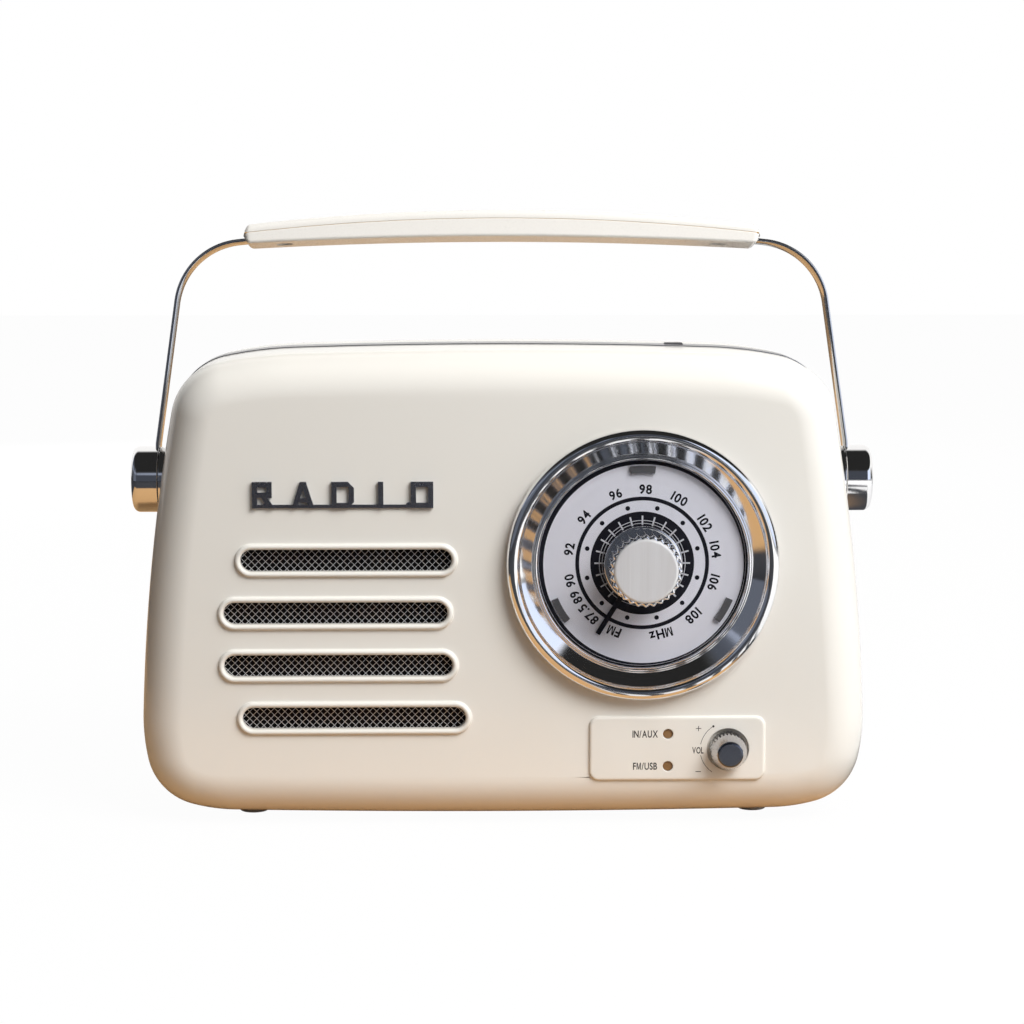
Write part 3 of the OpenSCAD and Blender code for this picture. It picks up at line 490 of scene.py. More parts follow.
def matt(name, base, rough, grain=1800.0, depth=0.15, spread=0.25, gloss=0.5):
    """Matt plastic, rubber or cloth: fine grain in colour, roughness and height."""
    p = Paint(name)
    fine = p.noise(grain, 3.0, 0.6)
    dark, light = (colour(*(c * part for c in base)) for part in (1 - spread, 1 + spread))
    return p.done(Base_Color=p.mix(fine, dark, light), Roughness=rough + 0.1 * fine,
                  Specular_IOR_Level=gloss, Normal=p.bump(fine, depth))


def clear_cover():
    """Clear moulding: see-through straight on, mirror-like at a slant, faint moulding swirls."""
    p = Paint("clear_cover")
    swirl = p.noise(25.0, 2.0)
    skin = p.shader(Base_Color=colour(0.96, 0.97, 1.0), Metallic=1.0, Roughness=0.03 + 0.02 * swirl)
    through = p.add("ShaderNodeBsdfTransparent", {}, {"Color": colour(0.995, 0.996, 1.0)})
    slant = p.add("ShaderNodeFresnel", {}, {"IOR": 1.28})
    return p.close(p.blend(slant * 0.55, through, skin))


def amber_lamp():
    """Smoked amber cover with a slightly darker, cloudy middle."""
    p = Paint("amber_lamp")
    cloud = p.noise(700.0, 3.0)
    tone = p.mix(cloud, colour(0.30, 0.165, 0.065), colour(0.20, 0.105, 0.04))
    return p.done(Base_Color=tone, Roughness=0.35 + 0.1 * cloud, Coat_Weight=0.3, Normal=p.bump(cloud, 0.1))


def brushed_disc():
    """Brushed face: long straight scratches with a faint cloudy tone."""
    p = Paint("brushed_cap")
    turn = (0, math.radians(38), 0)
    scratch = p.noise(1500.0, 5.0, 0.7, (1.0, 1.0, 0.02), turn=turn)
    broad = p.noise(260.0, 3.0, 0.6, (1.0, 1.0, 0.05), turn=turn)
    tone = p.mix(broad, colour(0.90, 0.90, 0.92), colour(0.74, 0.72, 0.71))
    return p.done(Base_Color=tone, Metallic=0.35, Roughness=0.3 + 0.16 * scratch,
                  Normal=p.bump(scratch, 0.25))


def plate_white():
    """Printed pale dial: faint cool tone with the slightest paper-like mottle."""
    p = Paint("dial_white")
    mottle = p.noise(500.0, 3.0)
    tone = p.mix(mottle, colour(0.90, 0.90, 0.975), colour(0.92, 0.92, 0.985))
    return p.done(Base_Color=tone, Roughness=0.35 + 0.1 * mottle, Normal=p.bump(mottle, 0.03))


CREAM = gloss_moulding("cream_moulding", colour(0.87, 0.845, 0.79), colour(0.86, 0.832, 0.772))
GRIP_CREAM = gloss_moulding("grip_moulding", colour(0.88, 0.855, 0.81), colour(0.87, 0.842, 0.792), 0.24)
SILVER = plated("satin_silver", (0.52, 0.52, 0.53), 0.34, (1, 0.05, 1), 1400.0, 0.05)
CHROME = plated("mirror_plate", (0.93, 0.93, 0.94), 0.045)
SMOKED = plated("smoked_plate", (0.40, 0.41, 0.46), 0.24, depth=0.06)
DARK_CAP = plated("dark_cap_plate", (0.13, 0.14, 0.17), 0.2, streak_scale=2500.0, depth=0.3)
NICKEL = plated("strap_nickel", (0.72, 0.71, 0.69), 0.13)
AERIAL = plated("aerial_plate", (0.86, 0.86, 0.87), 0.09, (0.05, 1, 1), 1600.0, 0.03)
WIRE = plated("tinned_wire", (0.70, 0.70, 0.71), 0.3, metallic=0.5)
STEEL = plated("bright_steel", (0.58, 0.58, 0.57), 0.3)
CAN = plated("tinned_can", (0.55, 0.55, 0.52), 0.4)
BRASS = plated("turned_brass", (0.72, 0.60, 0.35), 0.25)
KNURLED = plated("knurled_plate", (0.60, 0.60, 0.62), 0.1)
BRUSHED = brushed_disc()
COVER = clear_cover()
DIAL_WHITE = plate_white()
AMBER = amber_lamp()
# ink for the print and the pointer; round the dial's edge the same dark colour paints the bezel lip's shadow
INK_AND_SHADE = matt("printing_ink", (0.012, 0.012, 0.018), 0.5, 2400.0, 0.05, gloss=0.15)
PALE_INK = matt("pale_printing_ink", (0.75, 0.76, 0.80), 0.5, 2400.0, 0.05, 0.05)
LABEL_INK = matt("label_ink", (0.045, 0.04, 0.04), 0.5, 2400.0, 0.05, gloss=0.2)
BLACK = matt("black_moulding", (0.028, 0.028, 0.03), 0.42)
CLOTH = matt("acoustic_cloth", (0.003, 0.003, 0.003), 0.9, 2600.0, 0.5, gloss=0.05)
RUBBER = matt("surround_rubber", (0.05, 0.05, 0.05), 0.75)
PALE_RUBBER = matt("foot_rubber", (0.62, 0.60, 0.56), 0.7, spread=0.04)
FOAM = matt("foam", (0.06, 0.06, 0.06), 0.95, 700.0, 0.8)
PAPER = matt("cone_paper", (0.07, 0.07, 0.07), 0.9, 900.0, 0.5)
FERRITE = matt("ferrite", (0.10, 0.10, 0.11), 0.6, 1200.0, 0.4)
BOARD = matt("board_green", (0.05, 0.22, 0.11), 0.45, 300.0, 0.1)
# painted shade and warm glow for the grip's seam line
SEAM_SHADE = matt("painted_seam_shade", (0.50, 0.31, 0.14), 0.5, 900.0, 0.05)
GREY = matt("button_grey", (0.10, 0.10, 0.105), 0.45)


# ---------------- front shell
def shell_rings(edge_r, steps, swelling, seam):
    """(distance from the flat face, inset) of each ring: round the outer edge, along the
    slightly swollen side to the seam, then over the inner edge."""
    side = [(swelling[0], -SWELL / 3), (swelling[1], -SWELL * 0.67), (seam - 0.4, -SWELL),
            (seam - 0.12, -SWELL + 0.1), (seam, -SWELL + 0.35), (seam, WALL - SWELL)]
    return np.vstack([quarter(edge_r, steps), side, quarter(edge_r - WALL, 12)[::-1] + WALL])


def front_shell():
    """Outer and inner lofts of the cabinet outline joined at the seam, a flat front with
    its openings, and raised borders round them."""
    s = Surface()
    s.grid(lofted(shell_rings(FRONT_ROUND, 18, (24, 32), BAND[0])), wrap_columns=True)

    slot_lines = [stadium(x0, x1, SLOT_TOP - i * SLOT_PITCH, SLOT_R) for i, (x0, x1) in enumerate(SLOTS)]
    panel_line = rounded(*PANEL, 3.5)
    dial_line = circle(DIAL[0], DIAL[2], DIAL_HOLE_R)
    recess_line = circle(VOLUME[0], VOLUME[2], KNOB_RECESS_R)
    bush_line = circle(VOLUME[0], VOLUME[2], BUSH_R)
    lamp_lines = [circle(LAMP_X, z, LAMP_R + 0.1, 48) for z in LAMP_Z]

    foot = 0.5
    face = outline(FRONT_ROUND)
    s.sheet(face, [line(RIM_W + foot) for line in slot_lines] + [panel_line(foot), dial_line()], 0)
    s.sheet(face, [line() for line in slot_lines + [dial_line, bush_line] + lamp_lines], WALL, False)

    # a raised border is half an ellipse over the opening's edge, with a small foot outside it
    a = np.linspace(0.12, np.pi, 18)
    crest = np.stack([RIM_W / 2 * (1 + np.cos(a)), -RIM_H * np.sin(a)], -1)
    border = [(RIM_W + foot, 0), (RIM_W + 0.28, -0.03), (RIM_W + 0.1, -0.1)] + [tuple(c) for c in crest]
    border += [(0, 1.2), (0, WALL)]
    for line in slot_lines:
        s.wall(line, border)

    top_in, floor_y = -1.3, 0.8
    rise = [(foot, 0), (0.24, -0.04), (0.06, -0.16), (0, -0.36), (-0.06, -0.66), (-0.22, -0.92),
            (-0.48, -1.1), (-0.85, -1.18), (top_in, -PANEL_H)]
    s.wall(panel_line, rise)
    s.sheet(panel_line(top_in), [recess_line(0.45)] + [line(0.35) for line in lamp_lines], -PANEL_H)
    s.wall(recess_line, [(0.45, -PANEL_H), (0.2, -1.14), (0.05, -1.0), (0, -0.8), (0, 0.6),
                         (-0.06, 0.74), (-0.2, floor_y)])
    s.grid(rings_at([recess_line(-0.2), bush_line()], [floor_y] * 2), wrap_columns=True)
    s.wall(bush_line, [(0, floor_y), (0, WALL)])
    for line in lamp_lines:
        s.wall(line, [(0.35, -PANEL_H), (0.14, -1.15), (0.02, -1.0), (0, -0.8), (0, WALL)])
    s.wall(dial_line, [(0, 0), (0, WALL)])
    solid("cabinet_front", s, "cabinet", CREAM, "cream_shell", ["front_shell"])


def rear_shell():
    """The front shell's way of making, turned round: flat back with door, socket and air
    openings, and a round well down to each case screw."""
    s = Surface()
    back, inner = CABINET_D, CABINET_D - WALL
    rings = shell_rings(REAR_ROUND, 16, (back - 72, back - 62), back - BAND[1])
    s.grid(lofted(rings * [-1, 1] + [back, 0]), wrap_columns=True)

    def centre(node):
        at = middle(node)
        return at[0], at[2]

    door = rounded(-56.4, 56.4, 19.6, box_mm("battery_door")[1][2] + 0.4, 0.5, 6)
    usb_x, usb_z = centre("usb_socket")
    through = [circle(*centre("aux_jack"), 4.1, 48), circle(*centre("power_inlet"), 5.6, 56),
               rounded(usb_x - 7.7, usb_x + 7.7, usb_z - 4.2, usb_z + 4.2, 0.6, 6),
               circle(*centre("aerial_socket"), 7.53, 64)]
    through += [stadium(30, 78, 92 + 6 * row, 1.2, 10) for row in range(6)]
    through.append(door)
    ease = 0.3
    s.sheet(outline(REAR_ROUND), [line(ease) for line in through], back, False)
    s.sheet(outline(REAR_ROUND), [line() for line in through], inner, True)
    for line in through:
        s.wall(line, [(ease, back), (0.1, back - 0.06), (0, back - 0.25), (0, inner)])
    holes, wells = [], Surface()
    hole_r, well_r, well_end = 3.3, 4.8, 55.6
    hole = [(0, inner - 7), (hole_r, inner - 7), (hole_r, back + 3), (0, back + 3)]
    well = [(0, well_end), (well_r, well_end), (well_r, inner - 0.2), (hole_r + 0.02, inner + 0.2),
            (hole_r + 0.02, 57.4), (0, 57.4)]
    for x, z in CASE_SCREWS:
        holes.append(lathe(hole, (x, 0, z), steps=48))
        wells.join(lathe(well, (x, 0, z), steps=48))
    solid("screw_wells", wells, "cabinet", CREAM, "cream_shell", ())
    solid("cabinet_back", s, "cabinet", CREAM, "cream_shell", ["rear_shell"], cutters=holes)


def trim_band():
    """A closed profile with eased edges carried round the outline, less the push key's opening."""
    y0, y1 = BAND
    out, deep = -SWELL - PROUD, 1.8
    rings = [(y0, deep), (y0, out + 0.35), (y0 + 0.1, out + 0.1), (y0 + 0.35, out), (y0 + 4, out),
             (y1 - 4, out), (y1 - 0.35, out), (y1 - 0.1, out + 0.1), (y1, out + 0.35), (y1, deep)]
    s = Surface().grid(lofted(rings), wrap_rows=True, wrap_columns=True)
    gap, key_x, key_half, hole_z = 0.2, (61.5, 68.5), 2, (168.0, 184.0)
    ring = rounded(key_x[0] - gap, key_x[1] + gap,
                   PIVOT[1] - key_half - gap, PIVOT[1] + key_half + gap, 0.5, 6)()
    hole = Surface().bar(rings_at([ring] * 2, hole_z, 2))
    solid("trim_band", s, "cabinet", SILVER, "silver_band", cutters=[hole])


# ---------------- speaker
def speaker_mesh():
    """Two crossing families of round wires that pass over and under each other.

    Wire k runs along a diagonal at distance k pitch from the middle; its depth is
    middle + swing cos(pi t / pitch + pi k), and its skin is a four-sided tube."""
    low, high = box_mm("speaker_mesh")
    cx, cz = (low[0] + high[0]) / 2, (low[2] + high[2]) / 2
    half_x, half_z = (high[0] - low[0]) / 2 - 0.3, (high[2] - low[2]) / 2 - 0.3
    y_mid = (low[1] + high[1]) / 2 - FACE_Y
    pitch, r, swing = 1.84, 0.135, 0.14
    sides = np.radians([45, 135, 225, 315])
    s = Surface()
    for sign in (1, -1):
        along = np.array([1, sign]) / math.sqrt(2)
        across = np.array([-sign, 1]) / math.sqrt(2)
        reach = int((half_x + half_z) / math.sqrt(2) / pitch)
        for k in range(-reach, reach + 1):
            start = across * k * pitch
            limits = [sorted((way * half - start[axis]) / along[axis] for way in (-1, 1))
                      for axis, half in ((0, half_x), (1, half_z))]
            t0, t1 = max(limits[0][0], limits[1][0]), min(limits[0][1], limits[1][1])
            if t1 - t0 < 2 * pitch:
                continue
            t = np.arange(t0, t1, pitch / 3)
            line = start + along * t[:, None]
            depth = y_mid + sign * swing * np.cos(np.pi * t / pitch + np.pi * k)
            ring_in = r * np.cos(sides)[None, :, None] * across
            points = np.zeros((len(t), 4, 3))
            points[..., [0, 2]] = line[:, None, :] + ring_in + [cx, cz]
            points[..., 1] = depth[:, None] + r * np.sin(sides)[None, :]
            s.grid(points, wrap_columns=True)
    solid("speaker_mesh", s, "cabinet", WIRE, "mesh_wire", sharp=60)


# ---------------- dial
def dial_bezel():
    """A round tube rim, a straight slope inside it and a small inner lip, turned about the
    dial's centre."""
    tube, lip_r, lip_mid = 2.5, 0.65, 39.25
    inner_r, outer_r = 38.6, 41.3
    a = np.radians(np.linspace(0, 176, 36))
    rim = np.stack([BEZEL_R - tube + tube * np.cos(a), -3.6 - tube * np.sin(a)], -1)
    t = np.linspace(0, 1, 8)[1:, None]
    slope = (1 - t) * rim[-1] + t * np.array([40.1, -0.75])
    b = np.radians(np.linspace(-10, 180, 20))
    lip = np.stack([lip_mid + lip_r * np.cos(b), -1.2 - lip_r * np.sin(b)], -1)
    profile = np.vstack([[[outer_r, 0], [BEZEL_R - 0.25, 0], [BEZEL_R - 0.02, -0.25]], rim, slope,
                         lip, [[inner_r, WALL], [outer_r, WALL]]])
    solid("dial_bezel", lathe(profile, DIAL_AT, steps=256, wrap=True), "cabinet", CHROME, "chrome")


def dial_lens():
    """A flat clear disc with eased edges, stepped rings near its rim and three curved tabs."""
    face, step, under = -1.1, -0.8, 0.4
    profile = eased([
        (4.5, under, 0), (4.5, face, 0.2), (33.0, face, 0.05), (33.08, step, 0.04), (33.5, step, 0.04),
        (33.58, face, 0.05), (36.2, face, 0.05), (36.35, step, 0.05), (37.3, step, 0.05),
        (DIAL_R, -0.7, 0.2), (DIAL_R, under, 0)])
    solid("dial_lens", lathe(profile, DIAL_AT, steps=192, wrap=True), "cabinet", COVER, "clear_lens")
    tabs = Surface()
    tab_in, tab_out, tab_y0, tab_y1 = 33.5, 36.0, 0.42, 1.98
    for turn in (0, 120, 240):
        u = np.radians(90 - turn + np.linspace(-7.6, 7.6, 13))[None, :]
        loop = np.array([(tab_in, tab_y0), (tab_out, tab_y0), (tab_out, tab_y1), (tab_in, tab_y1)])
        r, y = loop[:, 0][:, None], loop[:, 1][:, None] * np.ones_like(u)
        block = np.stack([DIAL[0] + r * np.cos(u), y, DIAL[2] + r * np.sin(u)], -1)
        tabs.grid(block, wrap_rows=True)
        for end in (0, -1):
            tabs.add(block[:, end], [[0, 1, 2, 3]])
    solid("lens_tabs", tabs, "cabinet", GREY, "clear_lens", ())


def flat_ring(r0, r1, y, steps=128):
    """An annulus facing the front."""
    outer = circle(DIAL[0], DIAL[2], r1, steps)()
    holes = [circle(DIAL[0], DIAL[2], r0, steps)()] if r0 else []
    return Surface().sheet(outer, holes, y)


def glyph(letter, bold):
    """Points and faces of one flat letter, one unit high when a capital.

    All come from Blender's own font but M, whose outline is listed here."""
    if letter == "M":
        t, width, dip = 0.13 + bold, 0.84, 0.42
        line = np.array([(0, 0), (t, 0), (t, 0.70), (dip - t / 2, 0.02), (dip + t / 2, 0.02),
                         (width - t, 0.70), (width - t, 0), (width, 0), (width, 1),
                         (width - 1.35 * t, 1), (dip, 0.22), (1.35 * t, 1), (0, 1)])
        s = Surface().sheet(line, [], 0)
        return np.vstack(s.points)[:, [0, 2]], s.faces
    curve = bpy.data.curves.new("letters", "FONT")
    curve.body = letter
    curve.resolution_u = 4
    curve.offset = bold
    holder = linked("letters", curve)
    graph = bpy.context.evaluated_depsgraph_get()
    mesh = bpy.data.meshes.new_from_object(holder.evaluated_get(graph))
    capital = 0.70
    points = np.array([v.co[:] for v in mesh.vertices])[:, :2] / capital
    flip = mesh.polygons[0].normal.z < 0
    faces = [list(p.vertices)[::-1] if flip else list(p.vertices) for p in mesh.polygons]
    bpy.data.objects.remove(holder)
    return points, faces


def set_down(points, x, z, y, turn):
    """Flat points turned clockwise by turn degrees, then moved to x, z at depth y."""
    c, sn = cos_sin(turn)
    return np.stack([x + points[:, 0] * c + points[:, 1] * sn, np.full(len(points), y),
                     z - points[:, 0] * sn + points[:, 1] * c], -1)


def lettering(text, height, x, z, y, turn=0.0, narrow=1.0, bold=0.014):
    """Letters set side by side with even gaps, scaled to a height, turned, then set at x, z."""
    word, at = Surface(), 0.0
    for letter in text:
        points, faces = glyph(letter, bold)
        points = points - [points[:, 0].min() - at, 0]
        at = points[:, 0].max() + (0.13 if letter != "1" else 0.18)
        word.add(np.insert(points, 1, 0, axis=1), faces)
    points = np.vstack(word.points)[:, [0, 2]]
    low, high = points.min(0), points.max(0)
    points = (points - (low + high) / 2) * height / (high[1] - low[1]) * [narrow, 1]
    return set_down(points, x, z, y, turn), word.faces


def round_the_dial(r, angle):
    """The spot at radius r and clock angle from twelve."""
    c, sn = cos_sin(angle)
    return DIAL[0] + r * sn, DIAL[2] + r * c


def dial_print():
    """The dial's printing: numbers, a ring, hour dots and a dark middle with pale strokes,
    and round the edge a painted shadow of the bezel's lip, widest at the top left."""
    ink, on_ink = 1.97, 1.97 - 0.03
    dark = flat_ring(23.2, 24.6, ink)
    dark.join(flat_ring(0, 19.1, ink))
    # painted shadow of the bezel's lip: a dark band round the plate's edge, its inner circle set off right
    # and down so the band is widest at the top left
    lip_shadow_inner_edge = circle(DIAL[0] + 0.5, DIAL[2] - 0.35, 36.9, 160)()
    dark.sheet(circle(DIAL[0], DIAL[2], DIAL_R - 0.15, 160)(), [lip_shadow_inner_edge], ink)
    for k in range(12):
        x, z = round_the_dial(20.95, 15 + 30 * k)
        dark.sheet(circle(x, z, 0.85, 24)(), [], ink)
    marks = {87.5: -134, 89: -117.5, 90: -103.6, 92: -79, 94: -51.6, 96: -21.3, 98: 2.3, 100: 29.7,
             102: 57.3, 104: 79.5, 106: 105.3, 108: 136, "MHz": 165, "FM": -158}
    for mark, angle in marks.items():
        x, z = round_the_dial(27.3, angle)
        dark.add(*lettering(str(mark), 3.6, x, z, ink, angle, 0.93, 0.03))
    solid("dial_print", dark, "cabinet", INK_AND_SHADE, "dial_white", (), outward=False)

    pale = flat_ring(15.7, 15.95, on_ink)
    pale.join(flat_ring(14.65, 14.85, on_ink))
    half, stroke_in, stroke_out = 0.3, 14.2, 17.6
    corners = np.array([[-half, stroke_in], [half, stroke_in], [half, stroke_out], [-half, stroke_out]])
    for angle in range(-135, 136, 15):
        pale.add(set_down(corners, DIAL[0], DIAL[2], on_ink, angle), [[0, 1, 2, 3]])
    solid("dial_strokes", pale, "cabinet", PALE_INK, "dial_white", (), outward=False)


def dial_plate():
    profile = eased([(4.5, 3.0, 0), (4.5, 2.0, 0.1), (DIAL_R, 2.0, 0.1), (DIAL_R, 3.0, 0)])
    solid("dial_plate", lathe(profile, DIAL_AT, steps=192, wrap=True), "cabinet", DIAL_WHITE, "dial_white")


def knob_face(back, front, r, inner_r, ease):
    """The profile of a disc from back to front, with its front edge eased from r to inner_r."""
    return eased([(0, back, 0), (r, back, 0.02), (r, front + ease, 0.15), (inner_r, front, ease),
                  (0, front, 0)])


def tuning_knob():
    """A turned skirt and body; on the body the radius is 12.85 + 0.4 cos(28 u), and
    0.9 less at the front of its rounded edge."""
    front, body_r, skirt_y, skirt_r, bore = KNOB_FRONT + 0.8, 12.85, -3.6, 14.3, 3.1
    skirt = eased([(bore, -1.6, 0), (skirt_r, -1.6, 0.2), (skirt_r, skirt_y, 0.5), (13.0, skirt_y, 0.05)])
    quarter_a = np.linspace(0, np.pi / 2, 7)[1:]
    y = np.concatenate([np.linspace(skirt_y, front + 1.0, 10), front + 1.0 - np.sin(quarter_a)])
    r = body_r - np.concatenate([np.zeros(10), 0.9 * (1 - np.cos(quarter_a))])
    face = np.array([[11.75, front], [11.65, front + 0.1], [bore, front + 0.1]])
    profile = np.vstack([skirt, np.stack([r, y], -1), face])

    def ripple(u, radius, height):
        on_body = (height < skirt_y + 0.05) & (radius > 11.8) & (radius < 12.95)
        return radius + np.where(on_body, 0.4 * np.cos(28 * u), 0.0)
    s = lathe(profile, DIAL_AT, steps=432, ripple=ripple)
    solid("tuning_knob", s, "tuning", CHROME, "chrome", sharp=50)
    cap = knob_face(front, KNOB_FRONT, 11.6, 11.0, 0.35)
    solid("tuning_knob_face", lathe(cap, DIAL_AT, steps=192), "tuning", BRUSHED, "brushed_cap",
          ["tuning_knob_cap"])


def volume_knob():
    """A straight grooved skirt below a cone; grooves take 0.36 (0.5 + 0.5 cos 30u) ^ 4 off
    the radius."""
    front = VOLUME_FRONT + 0.6
    profile = eased([(BORE_R, -0.2, 0), (6.9, -0.2, 0.2), (6.75, -3.4, 0), (6.6, -6.6, 0.35),
                     (4.75, front, 0.25), (BORE_R, front, 0)])

    def ripple(u, radius, height):
        depth = np.clip((height + 6.3) / -0.6, 0, 1)
        grooves = (0.5 + 0.5 * np.cos(30 * u)) ** 4
        return radius - np.where(radius > 6.2, 0.36 * grooves * (1 - depth), 0.0)
    s = lathe(profile, VOLUME_AT, steps=360, ripple=ripple)
    solid("volume_knob", s, "volume", KNURLED, "chrome", sharp=50)
    cap = knob_face(front, VOLUME_FRONT, 4.7, 4.2, 0.3)
    solid("volume_knob_face", lathe(cap, VOLUME_AT, steps=96), "volume", DARK_CAP, "dark_chrome",
          ["volume_knob_cap"])


def lamps():
    """A gently domed lamp in each hole of the panel."""
    r, flange_r = LAMP_R, 2.3
    t = np.linspace(0, 1, 10)
    dome = np.stack([r * t, -0.6 + 0.22 * t ** 4], -1)
    body = eased([(r, -0.3, 0), (r, 6, 0.05), (flange_r, 6, 0.1), (flange_r, 15, 0.1), (0, 15, 0)])
    for name, node, z in (("lamp_upper", "led_aux", LAMP_Z[0]), ("lamp_lower", "led_radio", LAMP_Z[1])):
        s = lathe(np.vstack([dome, body]), (LAMP_X, 0, z), steps=64)
        solid(name, s, "cabinet", AMBER, "amber_lamp", [node])


def panel_print():
    """The panel's printing: lamp labels, plus, minus, VOL and a thin arc in two parts round
    the volume knob, with a dot at its upper end."""
    y = -PANEL_H - 0.02
    s = Surface()
    label_x, volume_x = 51.9, 71.4
    s.add(*lettering("IN/AUX", 2.75, label_x, LAMP_Z[0] + 0.1, y, 0, 0.68, 0.02))
    s.add(*lettering("FM/USB", 2.75, label_x, LAMP_Z[1] + 0.1, y, 0, 0.72, 0.02))
    s.add(*lettering("VOL", 2.5, volume_x, VOLUME[2] - 0.3, y, 0, 0.60, 0.02))
    thin, arm, sign_x, plus_z, minus_z = 0.13, 1.0, 71.6, 37.5, 21.3
    for z, half_x, half_z, lift in (
            (plus_z, arm, thin, 0), (plus_z, thin, arm, 0.01), (minus_z, arm, thin, 0)):
        box = ((-half_x, -half_z), (half_x, -half_z), (half_x, half_z), (-half_x, half_z))
        s.add([(sign_x + dx, y - lift, z + dz) for dx, dz in box], [[0, 1, 2, 3]])
    dot_angle, arc_r = 122, (10.35, 10.26, 10.17)
    for a0, a1 in ((dot_angle, 169), (192, 236)):
        a = np.radians(np.linspace(a0, a1, 24))
        s.grid(np.array([np.stack([VOLUME[0] + r * np.cos(a), np.full(24, y),
                                   VOLUME[2] + r * np.sin(a)], -1) for r in arc_r[::2]]))
    c, sn = cos_sin(dot_angle)
    s.sheet(circle(VOLUME[0] + arc_r[1] * c, VOLUME[2] + arc_r[1] * sn, 0.42, 20)(), [], y)
    solid("panel_print", s, "cabinet", LABEL_INK, "pointer_black", (), outward=False)


# ---------------- handle
def leaned(points):
    """Turns points drawn upright round the pivot line, as (x, depth, height above it),
    back by the lean."""
    points = np.asarray(points, float)
    c, s = math.cos(LEAN), math.sin(LEAN)
    x, v, h = points[..., 0], points[..., 1], points[..., 2]
    return np.stack([x, PIVOT[1] + v * c + h * s, PIVOT[2] - v * s + h * c], -1)


GRIP_L, GRIP_D = 196.0, 20.0
TOP_CROWN, UNDER_CROWN = 860.0, 1780.0
GRIP_TOP, GRIP_UNDER = 101.9, 91.7
GRIP_SEAM = GRIP_TOP - 3.4


def crown(top, r, x):
    return top - (r - np.sqrt(r * r - x * x))


def grip_half(upper):
    """One half of the grip: a rounded section carried along x between the crowned seam
    line and the crowned outer line, drawn in by a quarter round at both ends."""
    end = 2.0
    quarter_a = np.linspace(0, np.pi / 2, 9)
    ends_x = GRIP_L / 2 - end + end * np.sin(quarter_a)
    ends_in = end * (1 - np.cos(quarter_a))
    x = np.concatenate([-ends_x[::-1], np.linspace(-GRIP_L / 2 + end, GRIP_L / 2 - end, 61)[1:-1], ends_x])
    inset = np.concatenate([ends_in[::-1], np.zeros(59), ends_in])
    seam = crown(GRIP_SEAM, TOP_CROWN, x)
    outer = crown(GRIP_TOP, TOP_CROWN, x) if upper else crown(GRIP_UNDER, UNDER_CROWN, x)
    side = 1.0 if upper else -1.0
    reach = side * (outer - seam) - inset * 0.9
    half = GRIP_D / 2 - inset
    small, big = 0.34, (2.6 if upper else 1.1)
    corner = np.radians(np.linspace(0, 90, 9))
    v, h = [], []
    # section corners: two small ones at the seam, two big ones on the far side
    for way, r, far in ((1, small, False), (1, big, True), (-1, big, True), (-1, small, False)):
        a = corner if far == (way > 0) else corner[::-1]
        v.append(way * (half[:, None] - r + r * np.cos(a)))
        h.append(reach[:, None] - r + r * np.sin(a) if far else np.tile(r - r * np.sin(a), (len(x), 1)))
    v, h = np.concatenate(v, 1), np.concatenate(h, 1)
    narrow = 1 - 1.4 / (GRIP_L / 2) * h / 7.0
    return Surface().bar(leaned(np.stack([x[:, None] * narrow, v, seam[:, None] + side * h], -1)))


def grip():
    """Both halves, a thin tan bead in the groove between them that paints in the seam's shade and warm glow,
    and a recess for each screw.
    """
    solid("grip_top", grip_half(True), "handle", GRIP_CREAM, "cream_grip")
    # the seam bead: its tan colour is painted shade and warm glow for the line where the halves meet, not a
    # colour of the plastic
    x = np.linspace(-GRIP_L / 2 + 0.35, GRIP_L / 2 - 0.35, 61)
    seam = crown(GRIP_SEAM, TOP_CROWN, x)
    flat, peak, thick = GRIP_D / 2 - 0.3, GRIP_D / 2 - 0.12, 0.25
    v, h = np.array([(-flat, -thick), (flat, -thick), (peak, 0.0),
                     (flat, thick), (-flat, thick), (-peak, 0.0)]).T
    line = np.stack([x[:, None] * np.ones(6), np.ones((61, 1)) * v, seam[:, None] + h], -1)
    solid("grip_seam_shade", Surface().bar(leaned(line)), "handle", SEAM_SHADE, "cream_grip", ())
    recesses = []
    screw_x, recess_r, recess_z = 83, 3.2, (80.0, 91.4)
    u = np.linspace(0, 2 * np.pi, 40, endpoint=False)
    for way in (-1, 1):
        ring = np.stack([way * screw_x + recess_r * np.cos(u), recess_r * np.sin(u)], -1)
        recesses.append(Surface().bar(leaned(rings_at([ring] * 2, recess_z, 2))))
    solid("grip_base", grip_half(False), "handle", GRIP_CREAM, "cream_grip", cutters=recesses)


STRAP_W, STRAP_T = 10.0, 1.3
STRAP_X = 131.15


